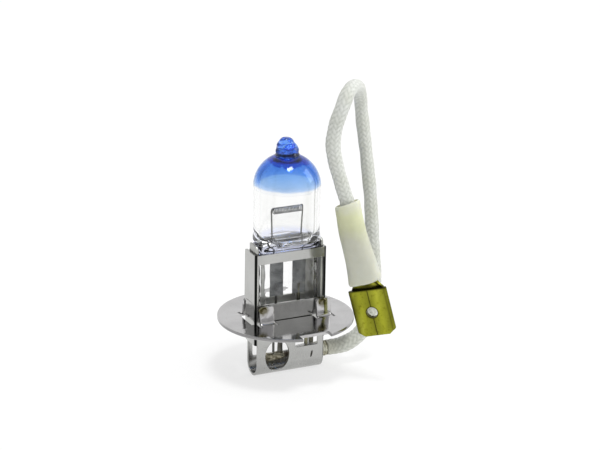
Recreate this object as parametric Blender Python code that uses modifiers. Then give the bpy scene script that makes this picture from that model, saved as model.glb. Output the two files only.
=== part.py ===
"""Halogen headlight bulb: quartz capsule, pressed-sheet base and a sleeved flying lead.

Metres. The origin is on the lamp axis, in the upper face of the flange. +Z runs up the lamp
axis to the glass tip, +X runs along the filament, and -Y is the front of the clamp.
"""

import math

import bmesh
import bpy
from mathutils import Euler, Matrix, Vector

MM = 0.001

# Quartz capsule
BULB_RADIUS = 5.3 * MM
BULB_WALL = 0.85 * MM
DOME_CENTRE_Z = 21.6 * MM
SHOULDER_LOW_Z = 11.0 * MM
SHOULDER_HIGH_Z = 14.2 * MM
PINCH_HALF_WIDTH = 5.1 * MM
PINCH_HALF_DEPTH = 1.35 * MM
PINCH_BOTTOM_Z = 1.2 * MM
PINCH_SQUARENESS = 8.0
TIP_SEAT_RADIUS = 1.85 * MM
EXHAUST_HOLE_RADIUS = 0.4 * MM
COAT_GAP = 0.03 * MM
COAT_THICKNESS = 0.07 * MM
GLASS_SIDES = 48

# Filament mount
FILAMENT_Z = 17.8 * MM
FILAMENT_LOW_X = -2.32 * MM
FILAMENT_HIGH_X = 2.52 * MM
FILAMENT_COIL_RADIUS = 0.45 * MM
FILAMENT_WIRE_RADIUS = 0.09 * MM
FILAMENT_TURNS = 13
LEG_RADIUS = 0.13 * MM
# Support legs: (x, z) from the foil up to the coil's end.
LEG_LINES_MM = {
    "left": [(-2.42, 9.8), (-2.45, 12.4), (-2.52, 15.0), (-2.58, 17.2), (-2.6, 18.0)],
    "right": [(2.55, 9.8), (2.58, 12.4), (2.66, 15.0), (2.77, 17.2), (2.79, 18.2)],
}
FOIL_CENTRES_X = {"left": -1.87 * MM, "right": 2.05 * MM}
FOIL_HALF_WIDTH = 1.17 * MM
FOIL_HALF_THICKNESS = 0.03 * MM
FOIL_LOW_Z = 4.0 * MM
FOIL_HIGH_Z = 9.7 * MM
OUTER_LEAD_RADIUS = 0.3 * MM
FIT_GAP = 0.05 * MM

# Flange
FLANGE_RADIUS = 11.0 * MM
FLANGE_THICKNESS = 0.55 * MM
FLANGE_EDGE = 0.14 * MM
FLANGE_SIDES = 96
OPENING_LOW = (-6.9 * MM, -2.15 * MM)
OPENING_HIGH = (7.1 * MM, 2.2 * MM)
NOTCH_CENTRE_X = 0.6 * MM
NOTCH_HALF_WIDTH = 2.5 * MM
NOTCH_DEPTH_Y = -9.4 * MM
TAB_CENTRES_X = {
    "front_left": -4.45 * MM, "front_right": 5.45 * MM,
    "rear_left": -5.45 * MM, "rear_right": 4.45 * MM,
}
TAB_WIDTH = 2.5 * MM
TAB_SLIT = 0.35 * MM
TAB_ROOT_Y = 3.8 * MM
TAB_FACE_Y = 2.48 * MM
TAB_TOP_Z = 2.85 * MM
TAB_BEND = 0.3 * MM
TAB_THICKNESS = 0.48 * MM

# Clamp sheets
SHEET = 0.4 * MM
CLAMP_LEFT_X = -6.22 * MM
CLAMP_RIGHT_X = 6.26 * MM
CLAMP_FRONT_Y = -1.95 * MM
CLAMP_REAR_Y = 1.95 * MM
CLAMP_TOP_Z = 11.3 * MM
CLAMP_BEND = 0.45 * MM
SIDE_LUG_BOTTOM_Z = -3.9 * MM
FRONT_PLATE_BOTTOM_Z = -1.4 * MM
WINDOW_LOW = (-5.8 * MM, 2.85 * MM)
WINDOW_HIGH = (5.84 * MM, 9.7 * MM)
INNER_SHEET = 0.35 * MM
INNER_GAP = 0.05 * MM
INNER_BOTTOM_Z = -1.0 * MM
EAR_TOP_Z = 12.55 * MM
EAR_REAR_Y = 1.4 * MM
REAR_WINDOW_LOW = (-3.3 * MM, 3.2 * MM)
REAR_WINDOW_HIGH = (3.6 * MM, 9.7 * MM)

# Trough under the flange
TROUGH_LEFT_X = -5.78 * MM
TROUGH_RIGHT_X = 5.86 * MM
TROUGH_REAR_Y = 2.1 * MM
TROUGH_BOTTOM_Z = -9.6 * MM
TROUGH_TOP_Z = -0.9 * MM
TROUGH_REAR_TOP_Z = -1.2 * MM
TROUGH_INSET = 0.02 * MM
SHELF_TOP_Z = -5.2 * MM
SHELF_REAR_Y = -0.75 * MM
SLOT_LOW_X = 0.92 * MM
SLOT_HIGH_X = 4.86 * MM
SLOT_TOP_Z = -1.7 * MM
HOLE_CENTRE = (-2.27 * MM, -6.1 * MM)
HOLE_HALF_SIZE = (2.1 * MM, 2.68 * MM)
DIMPLE_CENTRE = (3.77 * MM, -6.75 * MM)
DIMPLE_HALF_SIZE = (0.17 * MM, 0.55 * MM)
REAR_HOLE_LOW = (-5.0 * MM, -7.1 * MM)
REAR_HOLE_HIGH = (5.0 * MM, -2.2 * MM)

# Lead
LEAD_Z = -6.95 * MM
LEAD_DIAMETER = 2.3 * MM
LEAD_POINTS = 48
CONDUCTOR_RADIUS = 0.45 * MM
SPLICE_LOW_X = -3.35 * MM
SPLICE_HIGH_X = -0.3 * MM
SPLICE_RADIUS = 0.72 * MM
FERRULE_LOW_X = 4.95 * MM
FERRULE_HIGH_X = 7.05 * MM
FERRULE_RADIUS = 1.25 * MM

# Blade terminal and its insulating sleeve
BLADE_TOP = Vector((9.62, -9.77, 6.5)) * MM
BLADE_TURN = Euler((math.radians(4.0), math.radians(-14.0), math.radians(-41.0)), "XYZ")
BLADE_LENGTH = 8.0 * MM
BLADE_HALF_WIDTH = 3.15 * MM
BLADE_THICKNESS = 0.8 * MM
BLADE_HOLE_RADIUS = 0.88 * MM
BARREL_RADIUS = 1.1 * MM
BARREL_BORE = 0.8 * MM
BARREL_LOW_Z = 1.6 * MM
BARREL_HIGH_Z = 5.4 * MM
SLEEVE_WALL = 0.4 * MM

# Centreline of the braided lead, from the ferrule, up over its loop and down into the sleeve.
LEAD_ROUTE_MM = [
    (7.3, 0.0, -6.95), (8.3, -0.06, -6.94), (9.4, -0.45, -6.76), (10.5, -0.92, -6.32),
    (11.6, -1.3, -5.65), (12.65, -1.6, -4.7), (13.6, -1.9, -3.3), (14.3, -2.15, -1.4),
    (14.65, -2.3, 1.0), (14.72, -2.33, 3.6), (14.6, -2.28, 6.6), (14.35, -2.17, 10.6),
    (14.1, -2.05, 14.4), (13.8, -1.9, 18.9), (13.5, -1.75, 21.9), (13.0, -1.5, 26.4),
    (12.5, -1.2, 30.7), (12.2, -1.1, 33.4), (11.85, -1.4, 35.3), (10.9, -2.5, 37.0),
    (9.4, -4.3, 37.95), (7.75, -6.1, 38.1), (6.45, -7.3, 37.4), (5.6, -7.8, 36.0),
    (5.0, -7.8, 34.5), (4.6, -7.62, 33.1), (4.3, -7.48, 31.1), (4.25, -7.45, 29.7),
    (4.4, -7.5, 28.5), (4.85, -7.7, 26.2), (5.6, -8.07, 23.4), (6.05, -8.28, 21.8),
    (6.42, -8.48, 20.5), (6.88, -8.7, 17.6),
]

# Sleeve stations: centre, then half width across the blade and half depth.
SLEEVE_STATIONS_MM = [
    ((6.42, -8.48, 20.5), 1.95, 1.95),
    ((6.9, -8.7, 17.4), 2.05, 2.0),
    ((7.72, -8.98, 13.9), 2.2, 1.95),
    ((8.72, -9.34, 10.3), 2.42, 1.8),
    ((9.25, -9.58, 7.5), 2.62, 1.68),
]

QUARTZ = ((0.86, 0.9, 0.92), 0.03, 0.0)
BLUE_GLASS = ((0.06, 0.2, 0.75), 0.05, 0.0)
TUNGSTEN = ((0.3, 0.3, 0.3), 0.45, 1.0)
MOLYBDENUM = ((0.2, 0.22, 0.24), 0.4, 1.0)
NICKEL_SHEET = ((0.62, 0.62, 0.6), 0.16, 1.0)
POLISHED_NICKEL = ((0.66, 0.65, 0.66), 0.1, 1.0)
BRONZE_CRIMP = ((0.3, 0.25, 0.14), 0.45, 1.0)
COPPER_STRAND = ((0.55, 0.34, 0.2), 0.45, 1.0)
BRAID = ((0.74, 0.76, 0.68), 0.9, 0.0)
RESIN = ((0.45, 0.42, 0.33), 0.7, 0.0)
SILICONE = ((0.8, 0.8, 0.66), 0.5, 0.0)
BRASS = ((0.36, 0.33, 0.06), 0.35, 1.0)


def clear_scene():
    for item in list(bpy.data.objects):
        bpy.data.objects.remove(item, do_unlink=True)


def new_collection(name):
    group = bpy.data.collections.new(name)
    bpy.context.scene.collection.children.link(group)
    return group


def new_material(name, finish):
    colour, roughness, metallic = finish
    material = bpy.data.materials.new(name)
    material.use_nodes = True
    material.diffuse_color = (*colour, 1.0)
    shader = material.node_tree.nodes["Principled BSDF"]
    shader.inputs["Base Color"].default_value = (*colour, 1.0)
    shader.inputs["Roughness"].default_value = roughness
    shader.inputs["Metallic"].default_value = metallic
    return material


def add_part(name, data, finish):
    """Add a named piece, with its own material, to the object's collection."""
    piece = bpy.data.objects.new(name, data)
    data.materials.append(new_material(name, finish))
    PARTS.objects.link(piece)
    return piece


def add_tool(name, data):
    """Add a shape that only cuts or joins another piece."""
    tool = bpy.data.objects.new(name, data)
    tool.hide_render = True
    tool.display_type = "WIRE"
    TOOLS.objects.link(tool)
    return tool


def combine(piece, tool, operation):
    step = piece.modifiers.new(tool.name, "BOOLEAN")
    step.operation = operation
    step.solver = "EXACT"
    step.object = tool


def cut(piece, tool):
    combine(piece, tool, "DIFFERENCE")


def join(piece, tool):
    combine(piece, tool, "UNION")


def thicken(piece, thickness, side):
    """Give a surface its thickness: side 1 grows along the normals, side -1 against them."""
    step = piece.modifiers.new("Thickness", "SOLIDIFY")
    step.thickness = thickness
    step.offset = side
    step.use_even_offset = True


def finished_mesh(shape, name, smooth_angle=35.0):
    data = bpy.data.meshes.new(name)
    shape.to_mesh(data)
    shape.free()
    data.shade_smooth()
    data.set_sharp_from_angle(angle=math.radians(smooth_angle))
    return data


def box_mesh(name, low, high):
    shape = bmesh.new()
    bmesh.ops.create_cube(shape, size=1.0)
    size = [upper - lower for lower, upper in zip(low, high)]
    centre = [(upper + lower) / 2 for lower, upper in zip(low, high)]
    placing = Matrix.Translation(centre) @ Matrix.Diagonal((*size, 1.0))
    bmesh.ops.transform(shape, matrix=placing, verts=shape.verts)
    return finished_mesh(shape, name)


def rod_mesh(name, low, high, radius, sides=16):
    """Return a cylinder between two points."""
    shape = bmesh.new()
    span = Vector(high) - Vector(low)
    bmesh.ops.create_cone(
        shape, cap_ends=True, segments=sides, radius1=radius, radius2=radius, depth=span.length
    )
    turn = Vector((0.0, 0.0, 1.0)).rotation_difference(span).to_matrix().to_4x4()
    placing = Matrix.Translation((Vector(low) + Vector(high)) / 2) @ turn
    bmesh.ops.transform(shape, matrix=placing, verts=shape.verts)
    return finished_mesh(shape, name)


def loft_mesh(name, rings, closed=False):
    """Skin a row of rings; a closed loft joins the last ring to the first, with no caps."""
    shape = bmesh.new()
    rows = [[shape.verts.new(point) for point in ring] for ring in rings]
    following = rows[1:] + rows[:1] if closed else rows[1:]
    for lower, upper in zip(rows, following):
        for i in range(len(lower)):
            j = (i + 1) % len(lower)
            shape.faces.new((lower[i], lower[j], upper[j], upper[i]))
    if not closed:
        shape.faces.new(list(reversed(rows[0])))
        shape.faces.new(rows[-1])
    bmesh.ops.recalc_face_normals(shape, faces=shape.faces)
    return finished_mesh(shape, name)


def strip_mesh(name, outline, low, high, sweep):
    """Sweep an open outline: (x, y) points along Z, or (y, z) points along X."""
    shape = bmesh.new()
    if sweep == "Z":
        rows = [[shape.verts.new((x, y, end)) for x, y in outline] for end in (low, high)]
    else:
        rows = [[shape.verts.new((end, y, z)) for y, z in outline] for end in (low, high)]
    near, far = rows
    for i in range(len(outline) - 1):
        shape.faces.new((near[i], near[i + 1], far[i + 1], far[i]))
    return finished_mesh(shape, name)


def arc(centre, radius, start, end, steps):
    """Return points on an arc, in the plane of its outline, with angles in degrees."""
    points = []
    for i in range(steps + 1):
        angle = math.radians(start + (end - start) * i / steps)
        points.append((centre[0] + radius * math.cos(angle), centre[1] + radius * math.sin(angle)))
    return points


def ring(centre, across, along, half_width, half_depth, power=2.0, sides=GLASS_SIDES):
    """Return a superellipse: power 2 is an ellipse, and a higher power is a rounded rectangle."""
    points = []
    for i in range(sides):
        angle = 2 * math.pi * (i + 0.5) / sides
        x = math.copysign(abs(math.cos(angle)) ** (2 / power), math.cos(angle))
        y = math.copysign(abs(math.sin(angle)) ** (2 / power), math.sin(angle))
        points.append(centre + across * (half_width * x) + along * (half_depth * y))
    return points


def level_ring(height, half_width, half_depth, power=2.0, sides=GLASS_SIDES, centre=(0.0, 0.0)):
    middle = Vector((*centre, height))
    return ring(middle, Vector((1, 0, 0)), Vector((0, 1, 0)), half_width, half_depth, power, sides)


def smooth_route(points, count):
    """Read evenly spaced points from a Catmull-Rom curve through the route."""
    knots = [Vector(point) * MM for point in points]
    knots = [knots[0] * 2 - knots[1]] + knots + [knots[-1] * 2 - knots[-2]]
    fine = []
    for a, b, c, d in zip(knots, knots[1:], knots[2:], knots[3:]):
        for i in range(20):
            t = i / 20
            fine.append(
                0.5 * (2 * b + (c - a) * t + (2 * a - 5 * b + 4 * c - d) * t ** 2
                       + (3 * b - a - 3 * c + d) * t ** 3)
            )
    fine.append(knots[-2])
    lengths = [0.0]
    for a, b in zip(fine, fine[1:]):
        lengths.append(lengths[-1] + (b - a).length)
    spaced = []
    place = 0
    for i in range(count):
        target = lengths[-1] * i / (count - 1)
        while place < len(lengths) - 2 and lengths[place + 1] < target:
            place += 1
        share = (target - lengths[place]) / (lengths[place + 1] - lengths[place])
        spaced.append(fine[place].lerp(fine[place + 1], share))
    return spaced


def wire(name, points, radius, finish, resolution=2):
    """Add a round wire or tube along a line of points."""
    line = bpy.data.curves.new(name, "CURVE")
    line.dimensions = "3D"
    line.bevel_depth = radius
    line.bevel_resolution = resolution
    line.render_resolution_u = 0
    line.use_fill_caps = True
    spline = line.splines.new("POLY")
    spline.points.add(len(points) - 1)
    for knot, point in zip(spline.points, points):
        knot.co = (*point, 1.0)
    return add_part(name, line, finish)


def glass_section(height):
    """Return half width, half depth and squareness of the capsule at a height under the dome."""
    share = (height - SHOULDER_LOW_Z) / (SHOULDER_HIGH_Z - SHOULDER_LOW_Z)
    share = min(max(share, 0.0), 1.0)
    share = share * share * (3 - 2 * share)
    half_width = PINCH_HALF_WIDTH + (BULB_RADIUS - PINCH_HALF_WIDTH) * share
    half_depth = PINCH_HALF_DEPTH + (BULB_RADIUS - PINCH_HALF_DEPTH) * share
    power = PINCH_SQUARENESS + (2.0 - PINCH_SQUARENESS) * share ** 0.5
    return half_width, half_depth, power


def dome_rings(radius, end_radius, steps):
    """Return rings from the dome's equator up to the height where it is end_radius wide."""
    last = math.acos(end_radius / radius)
    rings = []
    for i in range(steps + 1):
        angle = last * i / steps
        height = DOME_CENTRE_Z + radius * math.sin(angle)
        rings.append(level_ring(height, radius * math.cos(angle), radius * math.cos(angle)))
    return rings


def glass_cavity():
    inner = BULB_RADIUS - BULB_WALL
    floor = [
        (12.55, 3.4, 0.5, 3.0), (13.0, 4.0, 1.7, 2.6), (13.6, 4.3, 3.0, 2.2),
        (14.3, 4.42, 4.1, 2.0), (15.0, 4.45, 4.45, 2.0),
    ]
    rings = [level_ring(z * MM, a * MM, b * MM, power) for z, a, b, power in floor]
    rings += dome_rings(inner, 0.6 * MM, 8)
    return add_tool("glass_cavity", loft_mesh("glass_cavity", rings))


def glass_envelope():
    """The quartz tube, dome and flat pinch, which are one piece of glass."""
    rings = [level_ring(PINCH_BOTTOM_Z, *glass_section(PINCH_BOTTOM_Z))]
    shoulder_steps = 9
    for i in range(shoulder_steps + 1):
        height = SHOULDER_LOW_Z + (SHOULDER_HIGH_Z - SHOULDER_LOW_Z) * i / shoulder_steps
        rings.append(level_ring(height, *glass_section(height)))
    rings += dome_rings(BULB_RADIUS, TIP_SEAT_RADIUS, 10)
    glass = add_part("glass_envelope", loft_mesh("glass_envelope", rings), QUARTZ)
    cut(glass, glass_cavity())
    top = (0.0, 0.0, DOME_CENTRE_Z + BULB_RADIUS + 1 * MM)
    below = (0.0, 0.0, DOME_CENTRE_Z + BULB_RADIUS - 2 * MM)
    cut(glass, add_tool("exhaust_hole", rod_mesh("exhaust_hole", below, top, EXHAUST_HOLE_RADIUS)))
    for side, x in FOIL_CENTRES_X.items():
        cut(glass, foil_slot(side, x))
        leg_x = LEG_LINES_MM[side][0][0] * MM
        cut(glass, bore(f"leg_bore_{side}", leg_x, 9.6 * MM, 13.3 * MM, LEG_RADIUS + 2 * FIT_GAP))
        cut(glass, bore(f"lead_bore_{side}", x, 0.5 * MM, 4.1 * MM, OUTER_LEAD_RADIUS + FIT_GAP))


def foil_slot(side, x):
    low = (x - FOIL_HALF_WIDTH - FIT_GAP, -FOIL_HALF_THICKNESS - FIT_GAP, FOIL_LOW_Z - FIT_GAP)
    high = (x + FOIL_HALF_WIDTH + FIT_GAP, FOIL_HALF_THICKNESS + FIT_GAP, FOIL_HIGH_Z + FIT_GAP)
    return add_tool(f"foil_slot_{side}", box_mesh(f"foil_slot_{side}", low, high))


def bore(name, x, low, high, radius):
    return add_tool(name, rod_mesh(name, (x, 0.0, low), (x, 0.0, high), radius))


def blue_filter_coat():
    """The coloured layer over the dome, open round the exhaust tip."""
    inner = BULB_RADIUS + COAT_GAP
    outer = inner + COAT_THICKNESS
    edge = TIP_SEAT_RADIUS + 0.08 * MM
    rings = dome_rings(outer, edge, 8)
    rings += list(reversed(dome_rings(inner, edge, 8)))
    add_part("blue_filter_coat", loft_mesh("blue_filter_coat", rings, closed=True), BLUE_GLASS)


def exhaust_tip():
    """The sealed-off end of the exhaust tube, with its stem in the dome's hole."""
    seat = DOME_CENTRE_Z + math.sqrt(BULB_RADIUS ** 2 - TIP_SEAT_RADIUS ** 2) + FIT_GAP
    stem = EXHAUST_HOLE_RADIUS - FIT_GAP
    profile = [
        (-0.5 * MM, stem, 0.0), (0.0, stem, 0.0), (0.0, 1.78 * MM, 0.0),
        (0.45 * MM, 1.72 * MM, -0.02 * MM), (1.15 * MM, 1.58 * MM, -0.05 * MM),
        (1.9 * MM, 1.36 * MM, -0.12 * MM), (2.5 * MM, 1.08 * MM, -0.18 * MM),
        (2.9 * MM, 0.72 * MM, -0.25 * MM), (3.1 * MM, 0.35 * MM, -0.3 * MM),
    ]
    rings = []
    for rise, radius, lean in profile:
        rings.append(level_ring(seat + rise, radius, radius, sides=24, centre=(lean, 0.0)))
    add_part("exhaust_tip", loft_mesh("exhaust_tip", rings), BLUE_GLASS)


def filament_coil():
    points = []
    steps = FILAMENT_TURNS * 12
    for i in range(steps + 1):
        angle = 2 * math.pi * FILAMENT_TURNS * i / steps
        x = FILAMENT_LOW_X + (FILAMENT_HIGH_X - FILAMENT_LOW_X) * i / steps
        y = FILAMENT_COIL_RADIUS * math.sin(angle)
        z = FILAMENT_Z + FILAMENT_COIL_RADIUS * math.cos(angle)
        points.append((x, y, z))
    wire("filament_coil", points, FILAMENT_WIRE_RADIUS, TUNGSTEN, resolution=1)


def filament_mount():
    filament_coil()
    for side, x in FOIL_CENTRES_X.items():
        line = [(leg_x * MM, 0.0, z * MM) for leg_x, z in LEG_LINES_MM[side]]
        wire(f"support_leg_{side}", line, LEG_RADIUS, TUNGSTEN)
        low = (x - FOIL_HALF_WIDTH, -FOIL_HALF_THICKNESS, FOIL_LOW_Z)
        high = (x + FOIL_HALF_WIDTH, FOIL_HALF_THICKNESS, FOIL_HIGH_Z)
        name = f"molybdenum_foil_{side}"
        add_part(name, box_mesh(name, low, high), MOLYBDENUM)


def outer_leads():
    """The wires that leave the pinch: the live one to the splice, the other to the shelf."""
    start = FOIL_LOW_Z - FIT_GAP
    live_x = FOIL_CENTRES_X["left"]
    live_end = LEAD_Z + SPLICE_RADIUS + FIT_GAP
    live = [(live_x, 0.0, start), (live_x, 0.0, 0.0), (-2.05 * MM, 0.0, -2.5 * MM)]
    live += [(-2.1 * MM, 0.0, -4.5 * MM), (-2.1 * MM, 0.0, live_end)]
    wire("outer_lead_live", live, OUTER_LEAD_RADIUS, MOLYBDENUM)
    ground_x = FOIL_CENTRES_X["right"]
    ground = [(ground_x, 0.0, start), (ground_x, 0.0, 0.4 * MM)]
    ground += [(2.5 * MM, -0.45 * MM, -0.9 * MM), (3.0 * MM, -0.95 * MM, -2.2 * MM)]
    ground += [(3.15 * MM, -1.1 * MM, -3.4 * MM), (3.15 * MM, -1.1 * MM, SHELF_TOP_Z + FIT_GAP)]
    wire("outer_lead_ground", ground, OUTER_LEAD_RADIUS, MOLYBDENUM)


def flange_tab(place, x, rear):
    """A tongue cut from the flange and bent up against the clamp."""
    top = -TROUGH_INSET
    bend = (-TAB_FACE_Y - TAB_BEND, top + TAB_BEND)
    outline = [(-TAB_ROOT_Y - 0.6 * MM, top)] + arc(bend, TAB_BEND, -90.0, 0.0, 5)
    outline.append((-TAB_FACE_Y, TAB_TOP_Z))
    if rear:
        outline = [(-y, z) for y, z in reversed(outline)]
    name = f"flange_tab_{place}"
    data = strip_mesh(name, outline, x - TAB_WIDTH / 2, x + TAB_WIDTH / 2, "X")
    tab = add_tool(name, data)
    thicken(tab, TAB_THICKNESS, 1)
    return tab


def flange():
    """The round seating flange: rim notch, slotted opening and four lanced tongues."""
    steps = [
        (-FLANGE_THICKNESS, FLANGE_RADIUS - FLANGE_EDGE),
        (FLANGE_EDGE - FLANGE_THICKNESS, FLANGE_RADIUS),
        (-FLANGE_EDGE, FLANGE_RADIUS),
        (0.0, FLANGE_RADIUS - FLANGE_EDGE),
    ]
    rings = [level_ring(z, radius, radius, sides=FLANGE_SIDES) for z, radius in steps]
    disc = add_part("flange", loft_mesh("flange", rings), POLISHED_NICKEL)
    low, high = -2 * MM, 2 * MM
    opening = box_mesh("flange_opening", (*OPENING_LOW, low), (*OPENING_HIGH, high))
    cut(disc, add_tool("flange_opening", opening))
    notch_low = (NOTCH_CENTRE_X - NOTCH_HALF_WIDTH, -FLANGE_RADIUS - 2 * MM, low)
    notch_high = (NOTCH_CENTRE_X + NOTCH_HALF_WIDTH, NOTCH_DEPTH_Y, high)
    cut(disc, add_tool("rim_notch", box_mesh("rim_notch", notch_low, notch_high)))
    for place, x in TAB_CENTRES_X.items():
        rear = place.startswith("rear")
        reach = TAB_WIDTH / 2 + TAB_SLIT
        ends = (1.0 * MM, TAB_ROOT_Y) if rear else (-TAB_ROOT_Y, -1.0 * MM)
        name = f"tab_slits_{place}"
        slits = box_mesh(name, (x - reach, ends[0], low), (x + reach, ends[1], high))
        cut(disc, add_tool(name, slits))
        join(disc, flange_tab(place, x, rear))


def trough():
    """The U-shaped tongue that the front plate ends in, below the flange."""
    front = CLAMP_FRONT_Y + TROUGH_INSET
    radius = (TROUGH_REAR_Y - front) / 2
    centre = (front + radius, TROUGH_BOTTOM_Z + radius)
    outline = [(front, TROUGH_TOP_Z)] + arc(centre, radius, 180.0, 360.0, 18)
    outline.append((TROUGH_REAR_Y, TROUGH_REAR_TOP_Z))
    data = strip_mesh("trough", outline, TROUGH_LEFT_X, TROUGH_RIGHT_X, "X")
    tool = add_tool("trough", data)
    thicken(tool, SHEET - 2 * TROUGH_INSET, -1)
    return tool


def punch_oval(piece, name, centre, half_size, ends, sides):
    """Cut an oval hole that runs along Y."""
    rings = []
    for y in ends:
        middle = Vector((centre[0], y, centre[1]))
        rings.append(ring(middle, Vector((1, 0, 0)), Vector((0, 0, 1)), *half_size, 2.0, sides))
    cut(piece, add_tool(name, loft_mesh(name, rings)))


def punch_box(piece, name, low, high, ends):
    """Cut a rectangular hole that runs along Y, between two (x, z) corners."""
    data = box_mesh(name, (low[0], ends[0], low[1]), (high[0], ends[1], high[1]))
    cut(piece, add_tool(name, data))


def front_clamp():
    """The outer sheet: windowed front plate, two sides, and the trough with its shelf."""
    left = [(CLAMP_LEFT_X, CLAMP_REAR_Y)]
    left += arc((CLAMP_LEFT_X + CLAMP_BEND, CLAMP_FRONT_Y + CLAMP_BEND), CLAMP_BEND, 180.0, 270.0, 5)
    right = arc((CLAMP_RIGHT_X - CLAMP_BEND, CLAMP_FRONT_Y + CLAMP_BEND), CLAMP_BEND, 270.0, 360.0, 5)
    outline = left + right + [(CLAMP_RIGHT_X, CLAMP_REAR_Y)]
    data = strip_mesh("front_clamp", outline, SIDE_LUG_BOTTOM_Z, CLAMP_TOP_Z, "Z")
    clamp = add_part("front_clamp", data, NICKEL_SHEET)
    thicken(clamp, SHEET, -1)
    through_front = (CLAMP_FRONT_Y - 1 * MM, CLAMP_FRONT_Y + 1 * MM)
    through_rear = (TROUGH_REAR_Y - 1 * MM, TROUGH_REAR_Y + 1 * MM)
    punch_box(clamp, "front_window", WINDOW_LOW, WINDOW_HIGH, through_front)
    below_low = (CLAMP_LEFT_X + 0.32 * MM, SIDE_LUG_BOTTOM_Z - 1 * MM)
    below_high = (CLAMP_RIGHT_X - 0.32 * MM, FRONT_PLATE_BOTTOM_Z)
    punch_box(clamp, "below_front_plate", below_low, below_high, through_front)
    join(clamp, trough())
    punch_oval(clamp, "trough_hole", HOLE_CENTRE, HOLE_HALF_SIZE, through_front, 28)
    punch_oval(clamp, "trough_dimple", DIMPLE_CENTRE, DIMPLE_HALF_SIZE, through_front, 12)
    slot_low, slot_high = (SLOT_LOW_X, SHELF_TOP_Z), (SLOT_HIGH_X, SLOT_TOP_Z)
    punch_box(clamp, "trough_slot", slot_low, slot_high, through_front)
    punch_box(clamp, "rear_hole", REAR_HOLE_LOW, REAR_HOLE_HIGH, through_rear)
    shelf_low = (SLOT_LOW_X + 0.08 * MM, CLAMP_FRONT_Y + 0.1 * MM, SHELF_TOP_Z - 0.28 * MM)
    shelf_high = (SLOT_HIGH_X - 0.08 * MM, SHELF_REAR_Y, SHELF_TOP_Z - 0.01 * MM)
    join(clamp, add_tool("ground_shelf", box_mesh("ground_shelf", shelf_low, shelf_high)))


def rear_clamp():
    """The inner sheet: windowed rear plate and two sides that stand up as ears."""
    left_x = CLAMP_LEFT_X + SHEET + INNER_GAP
    right_x = CLAMP_RIGHT_X - SHEET - INNER_GAP
    front_y = CLAMP_FRONT_Y + SHEET + 0.1 * MM
    right = [(right_x, front_y)]
    right += arc((right_x - CLAMP_BEND, CLAMP_REAR_Y - CLAMP_BEND), CLAMP_BEND, 0.0, 90.0, 5)
    left = arc((left_x + CLAMP_BEND, CLAMP_REAR_Y - CLAMP_BEND), CLAMP_BEND, 90.0, 180.0, 5)
    outline = right + left + [(left_x, front_y)]
    data = strip_mesh("rear_clamp", outline, INNER_BOTTOM_Z, EAR_TOP_Z, "Z")
    clamp = add_part("rear_clamp", data, NICKEL_SHEET)
    thicken(clamp, INNER_SHEET, -1)
    through_rear = (EAR_REAR_Y, CLAMP_REAR_Y + 1 * MM)
    punch_box(clamp, "rear_window", REAR_WINDOW_LOW, REAR_WINDOW_HIGH, through_rear)
    above_low = (CLAMP_LEFT_X - 1 * MM, CLAMP_TOP_Z)
    above_high = (CLAMP_RIGHT_X + 1 * MM, EAR_TOP_Z + 1 * MM)
    punch_box(clamp, "behind_ears", above_low, above_high, through_rear)


def tube_along_x(name, low_x, high_x, outer, inner, finish):
    rings = []
    across, upward = Vector((0, 1, 0)), Vector((0, 0, 1))
    for x, radius in ((low_x, inner), (low_x, outer), (high_x, outer), (high_x, inner)):
        rings.append(ring(Vector((x, 0.0, LEAD_Z)), across, upward, radius, radius, 2.0, 20))
    add_part(name, loft_mesh(name, rings, closed=True), finish)


def splice():
    """The crimp that joins the live wire to the lead's conductor, and the strip that steadies it."""
    conductor_fit = CONDUCTOR_RADIUS + FIT_GAP
    tube_along_x("splice_crimp", SPLICE_LOW_X, SPLICE_HIGH_X, SPLICE_RADIUS, conductor_fit, BRONZE_CRIMP)
    tube_along_x("lead_ferrule", FERRULE_LOW_X, FERRULE_HIGH_X, FERRULE_RADIUS, conductor_fit, RESIN)
    line = [(SPLICE_LOW_X + 0.4 * MM, 0.0, LEAD_Z), (FERRULE_HIGH_X - 0.05 * MM, 0.0, LEAD_Z)]
    wire("conductor_at_base", line, CONDUCTOR_RADIUS, COPPER_STRAND)
    low = (-1.35 * MM, -0.14 * MM, LEAD_Z + SPLICE_RADIUS + FIT_GAP)
    high = (-0.5 * MM, 0.14 * MM, 0.9 * MM)
    add_part("splice_strip", box_mesh("splice_strip", low, high), BRONZE_CRIMP)


def lead_braid():
    wire("lead_braid", smooth_route(LEAD_ROUTE_MM, LEAD_POINTS), LEAD_DIAMETER / 2, BRAID)


def blade_point(x, y, z):
    """Turn a place on the blade, in its own axes, into a place on the bulb."""
    return BLADE_TOP + BLADE_TURN.to_matrix() @ Vector((x, y, z))


def plate_mesh(name, outlines, thickness):
    """Return a flat plate in the XZ plane; outlines after the first are holes."""
    line = bpy.data.curves.new(name, "CURVE")
    line.dimensions = "2D"
    line.fill_mode = "BOTH"
    line.extrude = thickness / 2
    line.render_resolution_u = 0
    for outline in outlines:
        spline = line.splines.new("POLY")
        spline.points.add(len(outline) - 1)
        for knot, (x, z) in zip(spline.points, outline):
            knot.co = (x, z, 0.0, 1.0)
        spline.use_cyclic_u = True
    guide = bpy.data.objects.new(name, line)
    TOOLS.objects.link(guide)
    bpy.context.view_layer.update()
    seen = guide.evaluated_get(bpy.context.evaluated_depsgraph_get())
    data = bpy.data.meshes.new_from_object(seen)
    bpy.data.objects.remove(guide, do_unlink=True)
    shape = bmesh.new()
    shape.from_mesh(data)
    bmesh.ops.remove_doubles(shape, verts=shape.verts, dist=0.001 * MM)
    bmesh.ops.transform(shape, matrix=Matrix.Rotation(math.pi / 2, 4, "X"), verts=shape.verts)
    bmesh.ops.recalc_face_normals(shape, faces=shape.faces)
    return finished_mesh(shape, name)


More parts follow.
